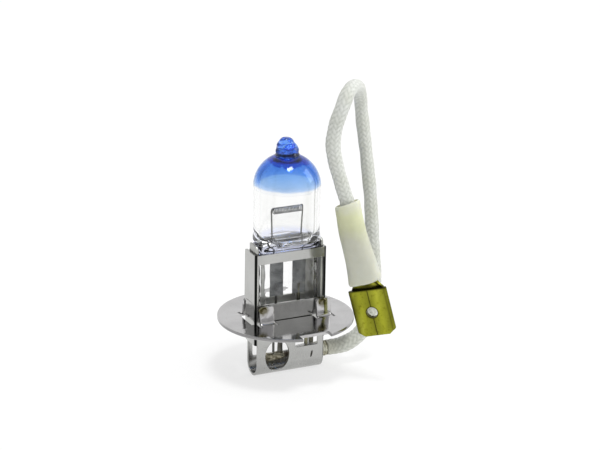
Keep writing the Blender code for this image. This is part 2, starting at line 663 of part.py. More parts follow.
def blade_terminal():
    """The flat brass blade, with its neck and its wire barrel up inside the sleeve."""
    chamfer_x, chamfer_z = 1.1 * MM, 0.8 * MM
    outline = [
        (-BLADE_HALF_WIDTH, 0.0), (-BLADE_HALF_WIDTH, chamfer_z - BLADE_LENGTH),
        (chamfer_x - BLADE_HALF_WIDTH, -BLADE_LENGTH), (BLADE_HALF_WIDTH - chamfer_x, -BLADE_LENGTH),
        (BLADE_HALF_WIDTH, chamfer_z - BLADE_LENGTH), (BLADE_HALF_WIDTH, 0.0),
    ]
    hole = arc((0.0, -BLADE_LENGTH / 2), BLADE_HOLE_RADIUS, 0.0, 345.0, 23)
    data = plate_mesh("blade_terminal", [outline, hole], BLADE_THICKNESS)
    blade = add_part("blade_terminal", data, BRASS)
    across, along = Vector((1, 0, 0)), Vector((0, 1, 0))
    neck = [
        (-0.4 * MM, 1.7 * MM, 0.33 * MM, 6.0), (0.7 * MM, 1.45 * MM, 0.5 * MM, 4.0),
        (BARREL_LOW_Z, BARREL_RADIUS, BARREL_RADIUS, 2.0),
        (BARREL_HIGH_Z, BARREL_RADIUS, BARREL_RADIUS, 2.0),
    ]
    rings = [ring(Vector((0, 0, z)), across, along, a, b, power, 24) for z, a, b, power in neck]
    barrel = add_tool("blade_barrel", loft_mesh("blade_barrel", rings))
    low, high = (0.0, 0.0, BARREL_LOW_Z + 0.3 * MM), (0.0, 0.0, BARREL_HIGH_Z + 1 * MM)
    barrel_bore = add_tool("barrel_bore", rod_mesh("barrel_bore", low, high, BARREL_BORE, 20))
    for piece in (blade, barrel, barrel_bore):
        piece.location = BLADE_TOP
        piece.rotation_euler = BLADE_TURN
    join(blade, barrel)
    cut(blade, barrel_bore)


def terminal_sleeve():
    """The soft insulating sleeve, round at the lead and flattened over the terminal."""
    wide = BLADE_TURN.to_matrix() @ Vector((1, 0, 0))
    centres = [Vector(station[0]) * MM for station in SLEEVE_STATIONS_MM]
    outer, inner = [], []
    for i, (_, half_width, half_depth) in enumerate(SLEEVE_STATIONS_MM):
        ahead = centres[min(i + 1, len(centres) - 1)]
        behind = centres[max(i - 1, 0)]
        tangent = (ahead - behind).normalized()
        depth = tangent.cross(wide).normalized()
        width = depth.cross(tangent).normalized()
        size = (half_width * MM, half_depth * MM)
        outer.append(ring(centres[i], width, depth, *size, 2.2, 28))
        size = (size[0] - SLEEVE_WALL, size[1] - SLEEVE_WALL)
        inner.append(ring(centres[i], width, depth, *size, 2.2, 28))
    data = loft_mesh("terminal_sleeve", outer + list(reversed(inner)), closed=True)
    add_part("terminal_sleeve", data, SILICONE)


def conductor_at_terminal():
    end = Vector(LEAD_ROUTE_MM[-1]) * MM
    before = Vector(LEAD_ROUTE_MM[-2]) * MM
    inward = (end - before).normalized()
    line = [end + inward * 0.08 * MM, Vector((7.72, -8.98, 13.9)) * MM]
    line += [blade_point(0.0, 0.0, BARREL_HIGH_Z + 0.2 * MM), blade_point(0.0, 0.0, 2.1 * MM)]
    wire("conductor_at_terminal", line, CONDUCTOR_RADIUS, COPPER_STRAND)


clear_scene()
PARTS = new_collection("headlight_bulb")
TOOLS = new_collection("cutters")
glass_envelope()
blue_filter_coat()
exhaust_tip()
filament_mount()
outer_leads()
flange()
front_clamp()
rear_clamp()
splice()
lead_braid()
blade_terminal()
terminal_sleeve()
conductor_at_terminal()
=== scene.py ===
"""Looks of the halogen headlight bulb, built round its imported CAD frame.

The frame's axes: the origin is on the lamp axis in the flange's upper face, +Z runs up to the
glass tip, +X along the filament, and -Y is the front of the clamp. Shapes are worked out in
millimetres and become metres when a piece is made.
"""

import math

import bmesh
import bpy
import numpy as np
from mathutils import Euler, Matrix, Vector


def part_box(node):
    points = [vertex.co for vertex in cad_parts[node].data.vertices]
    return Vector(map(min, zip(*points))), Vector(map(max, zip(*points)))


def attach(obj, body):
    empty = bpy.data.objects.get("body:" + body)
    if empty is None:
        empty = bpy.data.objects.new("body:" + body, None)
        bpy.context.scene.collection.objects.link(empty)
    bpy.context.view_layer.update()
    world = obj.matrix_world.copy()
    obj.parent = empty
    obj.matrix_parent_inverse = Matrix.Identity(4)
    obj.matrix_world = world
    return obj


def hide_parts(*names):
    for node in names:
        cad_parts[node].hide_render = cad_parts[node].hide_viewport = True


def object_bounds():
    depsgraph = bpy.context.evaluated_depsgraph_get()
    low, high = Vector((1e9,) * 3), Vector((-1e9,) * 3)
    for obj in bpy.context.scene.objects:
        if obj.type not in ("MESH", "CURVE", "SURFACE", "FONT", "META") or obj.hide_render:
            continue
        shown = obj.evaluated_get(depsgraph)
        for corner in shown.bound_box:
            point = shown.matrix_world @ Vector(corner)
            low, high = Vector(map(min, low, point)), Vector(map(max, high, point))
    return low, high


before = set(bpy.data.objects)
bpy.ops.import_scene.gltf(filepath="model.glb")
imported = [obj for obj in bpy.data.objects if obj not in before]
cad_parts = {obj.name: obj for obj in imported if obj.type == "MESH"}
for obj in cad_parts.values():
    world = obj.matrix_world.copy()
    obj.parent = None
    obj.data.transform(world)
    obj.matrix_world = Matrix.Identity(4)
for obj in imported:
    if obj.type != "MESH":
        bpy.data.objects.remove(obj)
CAD_LOW, CAD_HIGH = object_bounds()
MM = 0.001


def box_mm(node):
    """Return a CAD node's lowest and highest corners, in millimetres."""
    low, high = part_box(node)
    return np.array(low) / MM, np.array(high) / MM


# Camera, at the viewing angle of the bulb's portrait
CAMERA_YAW = math.radians(-25.414)
CAMERA_ELEVATION = math.radians(18.789)
CAMERA_ROLL = math.radians(0.817)
CAMERA_DISTANCE = 326.861
CAMERA_LENS = 123.94
CAMERA_AIM_RIGHT = 2.118
CAMERA_AIM_Z = 15.138

# Lead: centreline from the ferrule, up over its loop and down into the sleeve
LEAD_LENGTH = 76.9
LEAD_ROUTE = [
    (7.3, 0.0, -6.95), (8.3, -0.06, -6.94), (9.4, -0.45, -6.76), (10.5, -0.92, -6.32),
    (11.6, -1.3, -5.65), (12.65, -1.6, -4.7), (13.6, -1.9, -3.3), (14.3, -2.15, -1.4),
    (14.65, -2.3, 1.0), (14.72, -2.33, 3.6), (14.6, -2.28, 6.6), (14.35, -2.17, 10.6),
    (14.1, -2.05, 14.4), (13.8, -1.9, 18.9), (13.5, -1.75, 21.9), (13.0, -1.5, 26.4),
    (12.5, -1.2, 30.7), (12.2, -1.1, 33.4), (11.85, -1.4, 35.3), (10.9, -2.5, 37.0),
    (9.4, -4.3, 37.95), (7.75, -6.1, 38.1), (6.45, -7.3, 37.4), (5.6, -7.8, 36.0),
    (5.0, -7.8, 34.5), (4.6, -7.62, 33.1), (4.3, -7.48, 31.1), (4.25, -7.45, 29.7),
    (4.4, -7.5, 28.5), (4.85, -7.7, 26.2), (5.6, -8.07, 23.4), (6.05, -8.28, 21.8),
    (6.42, -8.48, 20.5), (6.88, -8.7, 17.6),
]
LEAD_ROWS = 760
LEAD_SIDES = 72
# Half thickness of the braid at shares of its length: fat where it leaves the base, drawn thin in the loop.
LEAD_SWELL = [
    (0.0, 1.22), (0.04, 1.34), (0.12, 1.3), (0.24, 1.16), (0.5, 1.08), (0.65, 1.1), (0.8, 1.2), (1.0, 1.12),
]
BRAID_CARRIERS = 10
BRAID_PITCH = 8.6
STRAND_CROWN = 0.055
STRAND_LIFT = 0.05

# Sleeve stations: centre, half width across the blade and half depth
SLEEVE_STATIONS = [
    ((6.42, -8.48, 20.5), 1.95, 1.95),
    ((6.9, -8.7, 17.4), 2.05, 2.0),
    ((7.72, -8.98, 13.9), 2.2, 1.95),
    ((8.72, -9.34, 10.3), 2.42, 1.8),
    ((9.25, -9.58, 7.5), 2.62, 1.68),
]
SLEEVE_WALL = 0.42

# Blade terminal, in its own axes: x across, z up the blade, -y its seamed face
BLADE_TOP = np.array([9.62, -9.77, 6.5])
BLADE_TURN = Euler((math.radians(4.0), math.radians(-14.0), math.radians(-41.0)), "XYZ")
BLADE_LENGTH = 8.0
BLADE_HALF_WIDTH = 3.15
BLADE_SHEET = 0.39
BLADE_HOLE_RADIUS = 0.88
BLADE_CHAMFER = (1.1, 0.8)

# Sheet of the base: its outer bends, its rounded edges, and where the outer sheet's sides end at the rear
SHEET = 0.4
INNER_SHEET = 0.35
BEND = 0.45
EDGE = 0.05
CLAMP_REAR_Y = 1.95
CLAMP_TOP = 11.3
PLATE_WINDOW_TOP = 9.7

# Trough below the flange, part of the outer sheet
TROUGH_LEFT, TROUGH_RIGHT = -5.78, 5.86
TROUGH_REAR_TOP = -1.2
LUG_BOTTOM = -3.9
# The sides are this much deeper above the tongues than beside them
STEP_Z, STEP_DEPTH = 3.15, 0.38

# Flange: its rim notch, its opening, and its tongues as (centre x, half width)
FLANGE_THICKNESS = 0.55
NOTCH_LOW, NOTCH_HIGH, NOTCH_Y = -1.9, 3.1, -9.4
OPENING = ((-6.9, -2.15), (7.1, 2.2))
TONGUES = {"front": [(-4.45, 1.25), (5.45, 1.25)], "rear": [(4.55, 1.15), (-5.25, 1.15)]}
TONGUE_SLIT = 0.35
TONGUE_ROOT = 3.8
TONGUE_FACE = 2.48
TONGUE_LEAN = math.radians(83.0)
TONGUE_BULGE = 0.13

# Capsule: its pinch, its shoulder and its wall
PINCH_HALF_WIDTH = 5.1
PINCH_HALF_DEPTH = 1.35
SHOULDER_LOW, SHOULDER_HIGH = 11.0, 14.2
GLASS_WALL = 0.85

# Spot welds on the upright tongues: x, the marked face's y, and z
WELDS = {
    "front": [(-5.1, -2.63, 2.28), (5.22, -2.65, 2.34)],
    "rear": [(-5.2, 2.65, 2.2), (4.5, 2.65, 2.2)],
}


class Shape:
    """Points, in millimetres, and faces of one piece, gathered surface by surface."""

    def __init__(self):
        self.points = []
        self.faces = []
        self.values = []

    def add(self, points, faces, value=0.0):
        """Add a surface, with one tone for all of it or one for each point."""
        first = len(self.points)
        self.points += [tuple(point) for point in points]
        self.faces += [tuple(first + int(i) for i in face) for face in faces]
        values = np.broadcast_to(value, (len(points),))
        self.values += [float(v) for v in values]

    def tube(self, rings, caps=True, loop=False, inward=False, value=0.0):
        """Skin closed rings of points; a loop joins the last ring to the first."""
        rings = np.asarray(rings, float)
        count, sides = rings.shape[:2]
        row = np.arange(count if loop else count - 1)[:, None]
        column = np.arange(sides)[None, :]
        ahead = (row + 1) % count
        beside = (column + 1) % sides
        corners = [row * sides + column, row * sides + beside, ahead * sides + beside, ahead * sides + column]
        faces = [tuple(face) for face in np.stack(corners, -1).reshape(-1, 4)]
        if caps and not loop:
            faces.append(tuple(range(sides - 1, -1, -1)))
            faces.append(tuple((count - 1) * sides + i for i in range(sides)))
        if inward:
            faces = [tuple(reversed(face)) for face in faces]
        value = np.asarray(value, float)
        self.add(rings.reshape(-1, 3), faces, value.reshape(-1) if value.ndim == 2 else value)

    def mesh(self, shape):
        """Add the points and faces of a bmesh, then free it."""
        shape.verts.index_update()
        self.add([v.co for v in shape.verts], [[v.index for v in f.verts] for f in shape.faces])
        shape.free()

    def turned(self, turn, move):
        """Turn and then move everything gathered so far."""
        points = np.array(self.points) @ np.array(turn).T + np.array(move)
        self.points = [tuple(point) for point in points]
        return self

    def piece(self, name, finish, nodes, smooth_angle=38.0, weighted=False):
        """Make the piece, riding on the bulb's only body and standing for its CAD nodes."""
        data = bpy.data.meshes.new(name)
        data.from_pydata((np.array(self.points) * MM).tolist(), [], self.faces)
        data.validate()
        data.shade_smooth()
        data.set_sharp_from_angle(angle=math.radians(smooth_angle))
        layer = data.attributes.new("tone", "FLOAT", "POINT")
        layer.data.foreach_set("value", np.array(self.values, np.float32))
        made = bpy.data.objects.new(name, data)
        bpy.context.scene.collection.objects.link(made)
        data.materials.append(finish)
        if weighted:
            step = made.modifiers.new("Flat faces", "WEIGHTED_NORMAL")
            step.keep_sharp = True
        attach(made, "root")
        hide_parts(*nodes)
        return made


def smooth_line(knots, count):
    """Return evenly spaced points on a Catmull-Rom curve through the knots."""
    knots = np.asarray(knots, float)
    knots = np.vstack([2 * knots[0] - knots[1], knots, 2 * knots[-1] - knots[-2]])
    share = np.linspace(0.0, 1.0, 24, endpoint=False)[:, None]
    runs = []
    for a, b, c, d in zip(knots, knots[1:], knots[2:], knots[3:]):
        square = (2 * a - 5 * b + 4 * c - d) * share ** 2
        cube = (3 * b - a - 3 * c + d) * share ** 3
        runs.append(0.5 * (2 * b + (c - a) * share + square + cube))
    line = np.vstack(runs + [knots[-2][None, :]])
    along = np.concatenate([[0.0], np.cumsum(np.linalg.norm(np.diff(line, axis=0), axis=1))])
    at = np.linspace(0.0, along[-1], count)
    return np.stack([np.interp(at, along, line[:, k]) for k in range(line.shape[1])], axis=1)


def directions(line):
    """Return tangents and two steady normals along a line, without twist."""
    tangents = np.gradient(line, axis=0)
    tangents /= np.linalg.norm(tangents, axis=1)[:, None]
    side = np.cross(tangents[0], [0.31, 0.95, 0.05])
    sides = []
    for tangent in tangents:
        side = side - tangent * (side @ tangent)
        side = side / np.linalg.norm(side)
        sides.append(side)
    sides = np.array(sides)
    return tangents, sides, np.cross(tangents, sides)


def round_rings(line, radius, sides):
    """Return rings of points round a line; radius is a number, or one for each point or place."""
    _, across, along = directions(np.asarray(line, float))
    angle = np.linspace(0.0, 2 * math.pi, sides, endpoint=False)
    radius = np.asarray(radius, float)
    radius = radius.reshape(-1, 1) if radius.ndim == 1 else radius
    radius = np.broadcast_to(radius, (len(line), sides))[:, :, None]
    cosine, sine = np.cos(angle)[None, :, None], np.sin(angle)[None, :, None]
    spoke = across[:, None, :] * cosine + along[:, None, :] * sine
    return np.asarray(line)[:, None, :] + spoke * radius


def level_ring(height, half_width, half_depth, power=2.0, sides=96, centre=(0.0, 0.0)):
    """Return a level superellipse: power 2 is an ellipse, and more is a rounded rectangle."""
    angle = 2 * math.pi * (np.arange(sides) + 0.5) / sides
    x = np.sign(np.cos(angle)) * np.abs(np.cos(angle)) ** (2 / power) * half_width + centre[0]
    y = np.sign(np.sin(angle)) * np.abs(np.sin(angle)) ** (2 / power) * half_depth + centre[1]
    return np.stack([x, y, np.full(sides, float(height))], axis=1)


def arc(centre, radius, start, end, steps):
    """Return points on an arc, with its angles in degrees."""
    angle = np.radians(np.linspace(start, end, steps + 1))
    return [(centre[0] + radius * math.cos(a), centre[1] + radius * math.sin(a)) for a in angle]


def oval(centre, half_size, steps=40):
    """Return points round an ellipse."""
    angle = np.linspace(0.0, 2 * math.pi, steps, endpoint=False)
    return [(centre[0] + half_size[0] * math.cos(a), centre[1] + half_size[1] * math.sin(a)) for a in angle]


def rounded(points, radius, steps=4):
    """Return a closed outline with its corners rounded off."""
    made = []
    count = len(points)
    for i in range(count):
        before, here, after = (np.array(points[(i + k) % count], float) for k in (-1, 0, 1))
        into, out = here - before, after - here
        reach = min(radius, 0.45 * np.linalg.norm(into), 0.45 * np.linalg.norm(out))
        start = here - into / np.linalg.norm(into) * reach
        end = here + out / np.linalg.norm(out) * reach
        for share in np.linspace(0.0, 1.0, steps + 1):
            point = (1 - share) ** 2 * start + 2 * share * (1 - share) * here + share ** 2 * end
            made.append(tuple(point))
    return made


def turning(points):
    """Return twice the signed area of an outline: positive if it runs anticlockwise."""
    x, y = np.array(points, float).T
    return float((x * np.roll(y, -1) - y * np.roll(x, -1)).sum())


def flat_pattern(outline, holes, thickness, edge):
    """Return a flat sheet in the XY plane as a bmesh, with rounded edges."""
    line = bpy.data.curves.new("pattern", "CURVE")
    line.dimensions = "2D"
    line.fill_mode = "BOTH"
    line.extrude = thickness / 2 - edge
    line.bevel_depth = edge
    line.bevel_resolution = 1
    line.offset = -edge
    for i, points in enumerate([outline] + holes):
        if (turning(points) > 0) == (i > 0):
            points = list(reversed(points))
        spline = line.splines.new("POLY")
        spline.points.add(len(points) - 1)
        for knot, (x, y) in zip(spline.points, points):
            knot.co = (x, y, 0.0, 1.0)
        spline.use_cyclic_u = True
    guide = bpy.data.objects.new("pattern", line)
    bpy.context.scene.collection.objects.link(guide)
    bpy.context.view_layer.update()
    seen = guide.evaluated_get(bpy.context.evaluated_depsgraph_get())
    data = bpy.data.meshes.new_from_object(seen)
    bpy.data.objects.remove(guide, do_unlink=True)
    shape = bmesh.new()
    shape.from_mesh(data)
    bpy.data.meshes.remove(data)
    bmesh.ops.remove_doubles(shape, verts=shape.verts, dist=0.0005)
    bmesh.ops.recalc_face_normals(shape, faces=shape.faces)
    return shape


def split_along(shape, axis, places):
    """Divide a flat sheet along lines where axis 0, x, or axis 1, y, has these values."""
    for place in places:
        point, normal = [0.0, 0.0, 0.0], [0.0, 0.0, 0.0]
        point[axis], normal[axis] = place, 1.0
        everything = shape.verts[:] + shape.edges[:] + shape.faces[:]
        bmesh.ops.bisect_plane(shape, geom=everything, dist=0.0005, plane_co=point, plane_no=normal)


class Bends:
    """A line of straight runs and arcs that a flat strip follows. A run is (length, turn in degrees)."""

    def __init__(self, start, heading, runs):
        self.runs = []
        place, facing, reached = np.array(start, float), math.radians(heading), 0.0
        for length, turn in runs:
            self.runs.append((reached, length, math.radians(turn), place, facing))
            place, facing = self.follow(place, facing, length, math.radians(turn), length)
            reached += length

    @staticmethod
    def follow(place, facing, length, turn, distance):
        """Return the place and facing at a distance along one run."""
        if turn == 0.0:
            return place + distance * np.array([math.cos(facing), math.sin(facing)]), facing
        radius = length / turn
        after = facing + turn * distance / length
        shift = np.array([math.sin(after) - math.sin(facing), math.cos(facing) - math.cos(after)])
        return place + radius * shift, after

    def at(self, distance):
        """Return the place, and the direction to its right, at a distance along the whole line."""
        for begin, length, turn, place, facing in reversed(self.runs):
            if distance >= begin or begin == 0.0:
                here, after = self.follow(place, facing, length, turn, distance - begin)
                return here, np.array([math.sin(after), -math.cos(after)])

    def splits(self, steps=5):
        """Return the distances where a flat strip is divided so that it can bend."""
        places = []
        for begin, length, turn, _, _ in self.runs:
            if turn:
                places += list(begin + length * np.linspace(0.0, 1.0, steps + 1))
        return places


def folded(shape, fold):
    """Bend a flat sheet: fold turns a flat (x, y) into a point and the outward normal there."""
    for vertex in shape.verts:
        point, normal = fold(vertex.co.x, vertex.co.y)
        vertex.co = Vector(point) + Vector(normal) * vertex.co.z
    return shape


# Materials


class Finish:
    """A Principled material whose colour, roughness and relief come from nodes."""

    def __init__(self, name, metallic=0.0, **constants):
        self.data = bpy.data.materials.new(name)
        self.data.use_nodes = True
        self.tree = self.data.node_tree
        self.shader = self.tree.nodes["Principled BSDF"]
        self.shader.inputs["Metallic"].default_value = metallic
        for socket, value in constants.items():
            self.shader.inputs[socket.replace("_", " ")].default_value = value
        place = self.tree.nodes.new("ShaderNodeTexCoord")
        self.place = place.outputs["Object"]

    def link(self, source, socket):
        self.tree.links.new(source, socket)

    def stretched(self, scale):
        """Return the object's own coordinates, stretched."""
        node = self.tree.nodes.new("ShaderNodeMapping")
        node.inputs["Scale"].default_value = scale
        self.link(self.place, node.inputs["Vector"])
        return node.outputs["Vector"]

    def noise(self, scale, detail=3.0, stretch=(1.0, 1.0, 1.0), warp=0.0, vector=None):
        """Return noise whose features are about 1/scale metres across."""
        node = self.tree.nodes.new("ShaderNodeTexNoise")
        node.inputs["Scale"].default_value = scale
        node.inputs["Detail"].default_value = detail
        node.inputs["Distortion"].default_value = warp
        self.link(vector or self.stretched(stretch), node.inputs["Vector"])
        return node.outputs["Fac"]

    def attribute(self, name, output="Fac"):
        """Return a value stored on the mesh."""
        node = self.tree.nodes.new("ShaderNodeAttribute")
        node.attribute_name = name
        return node.outputs[output]

    def ramp(self, source, stops):
        """Return a colour for each value of the source; a stop is (value, colour)."""
        node = self.tree.nodes.new("ShaderNodeValToRGB")
        ramp = node.color_ramp
        while len(ramp.elements) < len(stops):
            ramp.elements.new(0.5)
        for element, (value, colour) in zip(ramp.elements, stops):
            element.position = value
            element.color = (*colour, 1.0)
        self.link(source, node.inputs["Fac"])
        return node.outputs["Color"]

    def math(self, operation, a, b=0.0):
        node = self.tree.nodes.new("ShaderNodeMath")
        node.operation = operation
        for socket, value in zip(node.inputs, (a, b)):
            if isinstance(value, float):
                socket.default_value = value
            else:
                self.link(value, socket)
        return node.outputs["Value"]

    def span(self, source, low, high, start=0.0, end=1.0):
        """Return the source moved from one range to another, and held inside it."""
        node = self.tree.nodes.new("ShaderNodeMapRange")
        for name, value in (("From Min", low), ("From Max", high), ("To Min", start), ("To Max", end)):
            node.inputs[name].default_value = value
        self.link(source, node.inputs["Value"])
        return node.outputs["Result"]

    def height(self, axis="Z"):
        """Return how far along one of the object's axes a place is, in metres."""
        node = self.tree.nodes.new("ShaderNodeSeparateXYZ")
        self.link(self.place, node.inputs["Vector"])
        return node.outputs[axis]

    def heat(self, centre):
        """Return how far the metal round a weld is tinted by its heat."""
        node = self.tree.nodes.new("ShaderNodeVectorMath")
        node.operation = "DISTANCE"
        self.link(self.place, node.inputs[0])
        node.inputs[1].default_value = Vector(centre) * MM
        ragged = self.math("MULTIPLY", self.noise(1700.0, 3.0), 0.0009)
        return self.span(self.math("ADD", node.outputs["Value"], ragged), 0.0009, 0.00155, 0.85, 0.0)

    def mixed(self, share, a, b, kind="MIX"):
        """Return a blend of two colours."""
        node = self.tree.nodes.new("ShaderNodeMix")
        node.data_type = "RGBA"
        node.blend_type = kind
        for socket, value in ((node.inputs[0], share), (node.inputs[6], a), (node.inputs[7], b)):
            if isinstance(value, float):
                socket.default_value = value
            elif isinstance(value, tuple):
                socket.default_value = (*value, 1.0)
            else:
                self.link(value, socket)
        return node.outputs[2]

    def colour(self, source):
        self.link(source, self.shader.inputs["Base Color"])

    def roughness(self, source):
        self.link(source, self.shader.inputs["Roughness"])

    def relief(self, source, distance, strength=1.0):
        """Raise the surface by the source, in metres."""
        node = self.tree.nodes.new("ShaderNodeBump")
        node.inputs["Strength"].default_value = strength
        node.inputs["Distance"].default_value = distance
        self.link(source, node.inputs["Height"])
        self.link(node.outputs["Normal"], self.shader.inputs["Normal"])


def clear_quartz():
    """Fused quartz: nearly colourless, with faint drawing lines, and a painted blue-purple refraction of the
    coat round its shoulder.
    """
    made = Finish("clear_quartz", Transmission_Weight=1.0, IOR=1.458, Roughness=0.0)
    haze = made.ramp(made.noise(260.0, 2.0), [(0.3, (0.95, 0.955, 0.95)), (0.7, (0.975, 0.975, 0.97))])
    # Painted refraction: a band round the shoulder is tinted blue-purple, standing in for the blue coat seen
    # through the glass.
    below = made.span(made.height(), 0.0137, 0.0128)
    above = made.span(made.height(), 0.0098, 0.0108)
    shoulder = made.math("MINIMUM", below, above)
    made.colour(made.mixed(shoulder, haze, (0.76, 0.79, 0.96)))
    made.relief(made.noise(420.0, 2.0, stretch=(1.0, 1.0, 0.12)), 0.00002)
    return made.data


def blue_coat(rim, crown):
    """The blue filter layer: clear at its rim, and dense on the thick crown round the tip."""
    made = Finish("blue_filter", Transmission_Weight=1.0, IOR=1.45, Roughness=0.0)
    ragged = made.math("MULTIPLY", made.math("SUBTRACT", made.noise(900.0, 3.0), 0.5), 0.0004)
    height = made.math("ADD", made.height(), ragged)
    share = made.span(height, rim, crown + 0.5 * MM)
    tint = [
        (0.0, (0.98, 0.98, 0.99)), (0.075, (0.93, 0.95, 0.98)), (0.13, (0.5, 0.66, 0.93)),
        (0.26, (0.36, 0.57, 0.93)), (0.55, (0.23, 0.47, 0.93)), (1.0, (0.16, 0.4, 0.93)),
    ]
    wave = made.math("MULTIPLY", made.math("SUBTRACT", made.noise(620.0, 2.0, warp=0.6), 0.42), 0.0009)
    lean = made.math("MULTIPLY", made.height("Y"), -0.07)
    edge = made.math("ADD", made.height(), made.math("ADD", wave, lean))
    dense = made.span(edge, crown - 0.22 * MM, crown - 0.14 * MM)
    made.colour(made.mixed(dense, made.ramp(share, tint), (0.05, 0.16, 0.66)))
    return made.data


def blue_tip(seat):
    """Blue glass of the sealed tip: pale in its folds, and deep blue down at its seat."""
    made = Finish("blue_tip", Transmission_Weight=1.0, IOR=1.46, Roughness=0.02)
    swirl = made.noise(620.0, 3.0, stretch=(0.8, 0.8, 1.6), warp=1.6)
    tint = [(0.3, (0.05, 0.14, 0.66)), (0.5, (0.14, 0.34, 0.93)), (0.72, (0.36, 0.6, 1.0))]
    deep = made.span(made.height(), seat + 1.4 * MM, seat + 0.3 * MM)
    made.colour(made.mixed(deep, made.ramp(swirl, tint), (0.03, 0.12, 0.72)))
    made.relief(made.noise(900.0, 2.0, warp=1.0), 0.00007)
    return made.data


def nickel(name, shade, roughness, brush, dim_from=1.0, metallic=1.0):
    """Nickel-plated steel, with weld stains, satin below the flange, painted shade where the tone is high, and
    painted shade above dim_from.
    """
    made = Finish(name, metallic=metallic)
    cloud = made.noise(190.0, 4.0, warp=0.4)
    dull, bright = tuple(c * 0.9 for c in shade), tuple(min(1.0, c * 1.08) for c in shade)
    base = made.ramp(cloud, [(0.3, dull), (0.7, bright)])
    speck = made.ramp(made.noise(2600.0, 2.0), [(0.25, (0.8, 0.78, 0.74)), (0.36, (1.0, 1.0, 1.0))])
    base = made.mixed(1.0, base, speck, "MULTIPLY")
    # Painted shade: the same sheet is painted darker above dim_from.
    painted_shade_above = made.span(made.height(), dim_from, dim_from + 0.0005)
    base = made.mixed(made.math("MULTIPLY", painted_shade_above, 0.55), base, (0.18, 0.185, 0.17))
    for centre in WELDS["front"] + WELDS["rear"]:
        base = made.mixed(made.heat(centre), base, (0.1, 0.088, 0.04))
    # Painted shade: where the mesh's tone is high, the colour is painted near black.
    dark = made.span(made.attribute("tone"), 0.25, 0.75)
    made.colour(made.mixed(dark, base, (0.004, 0.005, 0.004)))
    grain = made.noise(1500.0, 3.0, stretch=brush)
    polish = made.span(grain, 0.3, 0.7, roughness * 0.75, roughness * 1.35)
    made.roughness(made.math("ADD", polish, made.span(made.height(), -0.0038, -0.0045, 0.0, 0.16)))
    made.relief(grain, 0.0000015, 0.5)
    return made.data


def weld_heat():
    """A spot weld on nickel: straw and brown rings round a paler nugget."""
    made = Finish("weld_heat", metallic=1.0)
    ragged = made.math("MULTIPLY", made.noise(2400.0, 3.0), 0.3)
    place = made.math("ADD", made.attribute("tone"), ragged)
    rings = [
        (0.1, (0.33, 0.32, 0.25)), (0.32, (0.2, 0.18, 0.1)), (0.5, (0.05, 0.042, 0.015)),
        (0.75, (0.09, 0.078, 0.035)), (0.95, (0.24, 0.225, 0.13)), (1.0, (0.36, 0.35, 0.28)),
    ]
    made.colour(made.ramp(place, rings))
    made.roughness(made.span(made.noise(3000.0, 2.0), 0.3, 0.7, 0.24, 0.5))
    made.relief(made.noise(3200.0, 3.0), 0.00002)
    return made.data


def dull_metal(name, dark, light, roughness, scale=900.0, stretch=(1.0, 1.0, 1.0), metallic=1.0):
    """A drawn or crimped metal with uneven tarnish."""
    made = Finish(name, metallic=metallic)
    cloud = made.noise(scale, 4.0, stretch=stretch, warp=0.5)
    made.colour(made.ramp(cloud, [(0.32, dark), (0.68, light)]))
    made.roughness(made.span(cloud, 0.3, 0.7, roughness * 1.3, roughness * 0.8))
    made.relief(made.noise(scale * 2.5, 3.0, stretch=stretch), 0.000012)
    return made.data


def brass():
    """Rolled brass, gone olive, with a painted highlight band across each half, and painted shade at its seam,
    folds, hole, top and outer edges.
    """
    made = Finish("terminal_brass", metallic=1.0)
    streak = made.noise(420.0, 4.0, stretch=(1.0, 1.0, 0.35), warp=0.6)
    rolled = [(0.3, (0.2, 0.205, 0.022)), (0.55, (0.29, 0.3, 0.028)), (0.75, (0.38, 0.385, 0.05))]
    base = made.ramp(streak, rolled)
    fleck = made.ramp(made.noise(2300.0, 3.0), [(0.3, (0.72, 0.7, 0.6)), (0.45, (1.0, 1.0, 1.0))])
    base = made.mixed(1.0, base, fleck, "MULTIPLY")
    axes = made.tree.nodes.new("ShaderNodeSeparateXYZ")
    made.link(made.attribute("local", "Vector"), axes.inputs["Vector"])
    across = made.math("ABSOLUTE", axes.outputs["X"])
    # Painted highlight across each half of the blade, with painted shade at its middle and outer edges.
    painted_light_band = [
        (0.0, (0.7, 0.7, 0.7)), (0.42, (1.25, 1.25, 1.1)), (0.72, (0.95, 0.95, 0.95)), (1.0, (0.6, 0.6, 0.62)),
    ]
    base = made.mixed(1.0, base, made.ramp(made.span(across, 0.0, BLADE_HALF_WIDTH), painted_light_band), "MULTIPLY")
    # Painted shade round the hole, along the seam and outer folds, and at the top where the sleeve meets it.
    up = made.math("ADD", axes.outputs["Z"], BLADE_LENGTH / 2)
    squares = made.math("ADD", made.math("MULTIPLY", up, up), made.math("MULTIPLY", across, across))
    from_hole = made.math("SQRT", squares)
    hole = made.span(from_hole, BLADE_HOLE_RADIUS + 0.1, BLADE_HOLE_RADIUS + 0.25, 0.9, 0.0)
    front = made.span(axes.outputs["Y"], -0.15, -0.1, 1.0, 0.0)
    seam = made.math("MULTIPLY", made.span(across, 0.04, 0.11, 0.95, 0.0), front)
    fold_line = made.span(made.math("ABSOLUTE", made.math("SUBTRACT", across, 2.72)), 0.05, 0.2, 0.4, 0.0)
    top = made.span(axes.outputs["Z"], -0.4, -0.15, 0.0, 0.9)
    above = made.span(axes.outputs["Z"], 0.15, 0.5, 1.0, 0.2)
    edges = made.math("MAXIMUM", fold_line, made.math("MULTIPLY", top, above))
    dark = made.math("MAXIMUM", made.math("MAXIMUM", hole, seam), edges)
    made.colour(made.mixed(dark, base, (0.05, 0.047, 0.008)))
    made.roughness(made.span(streak, 0.3, 0.7, 0.42, 0.28))
    made.relief(made.noise(1700.0, 3.0, stretch=(1.0, 1.0, 0.2)), 0.000008)
    return made.data


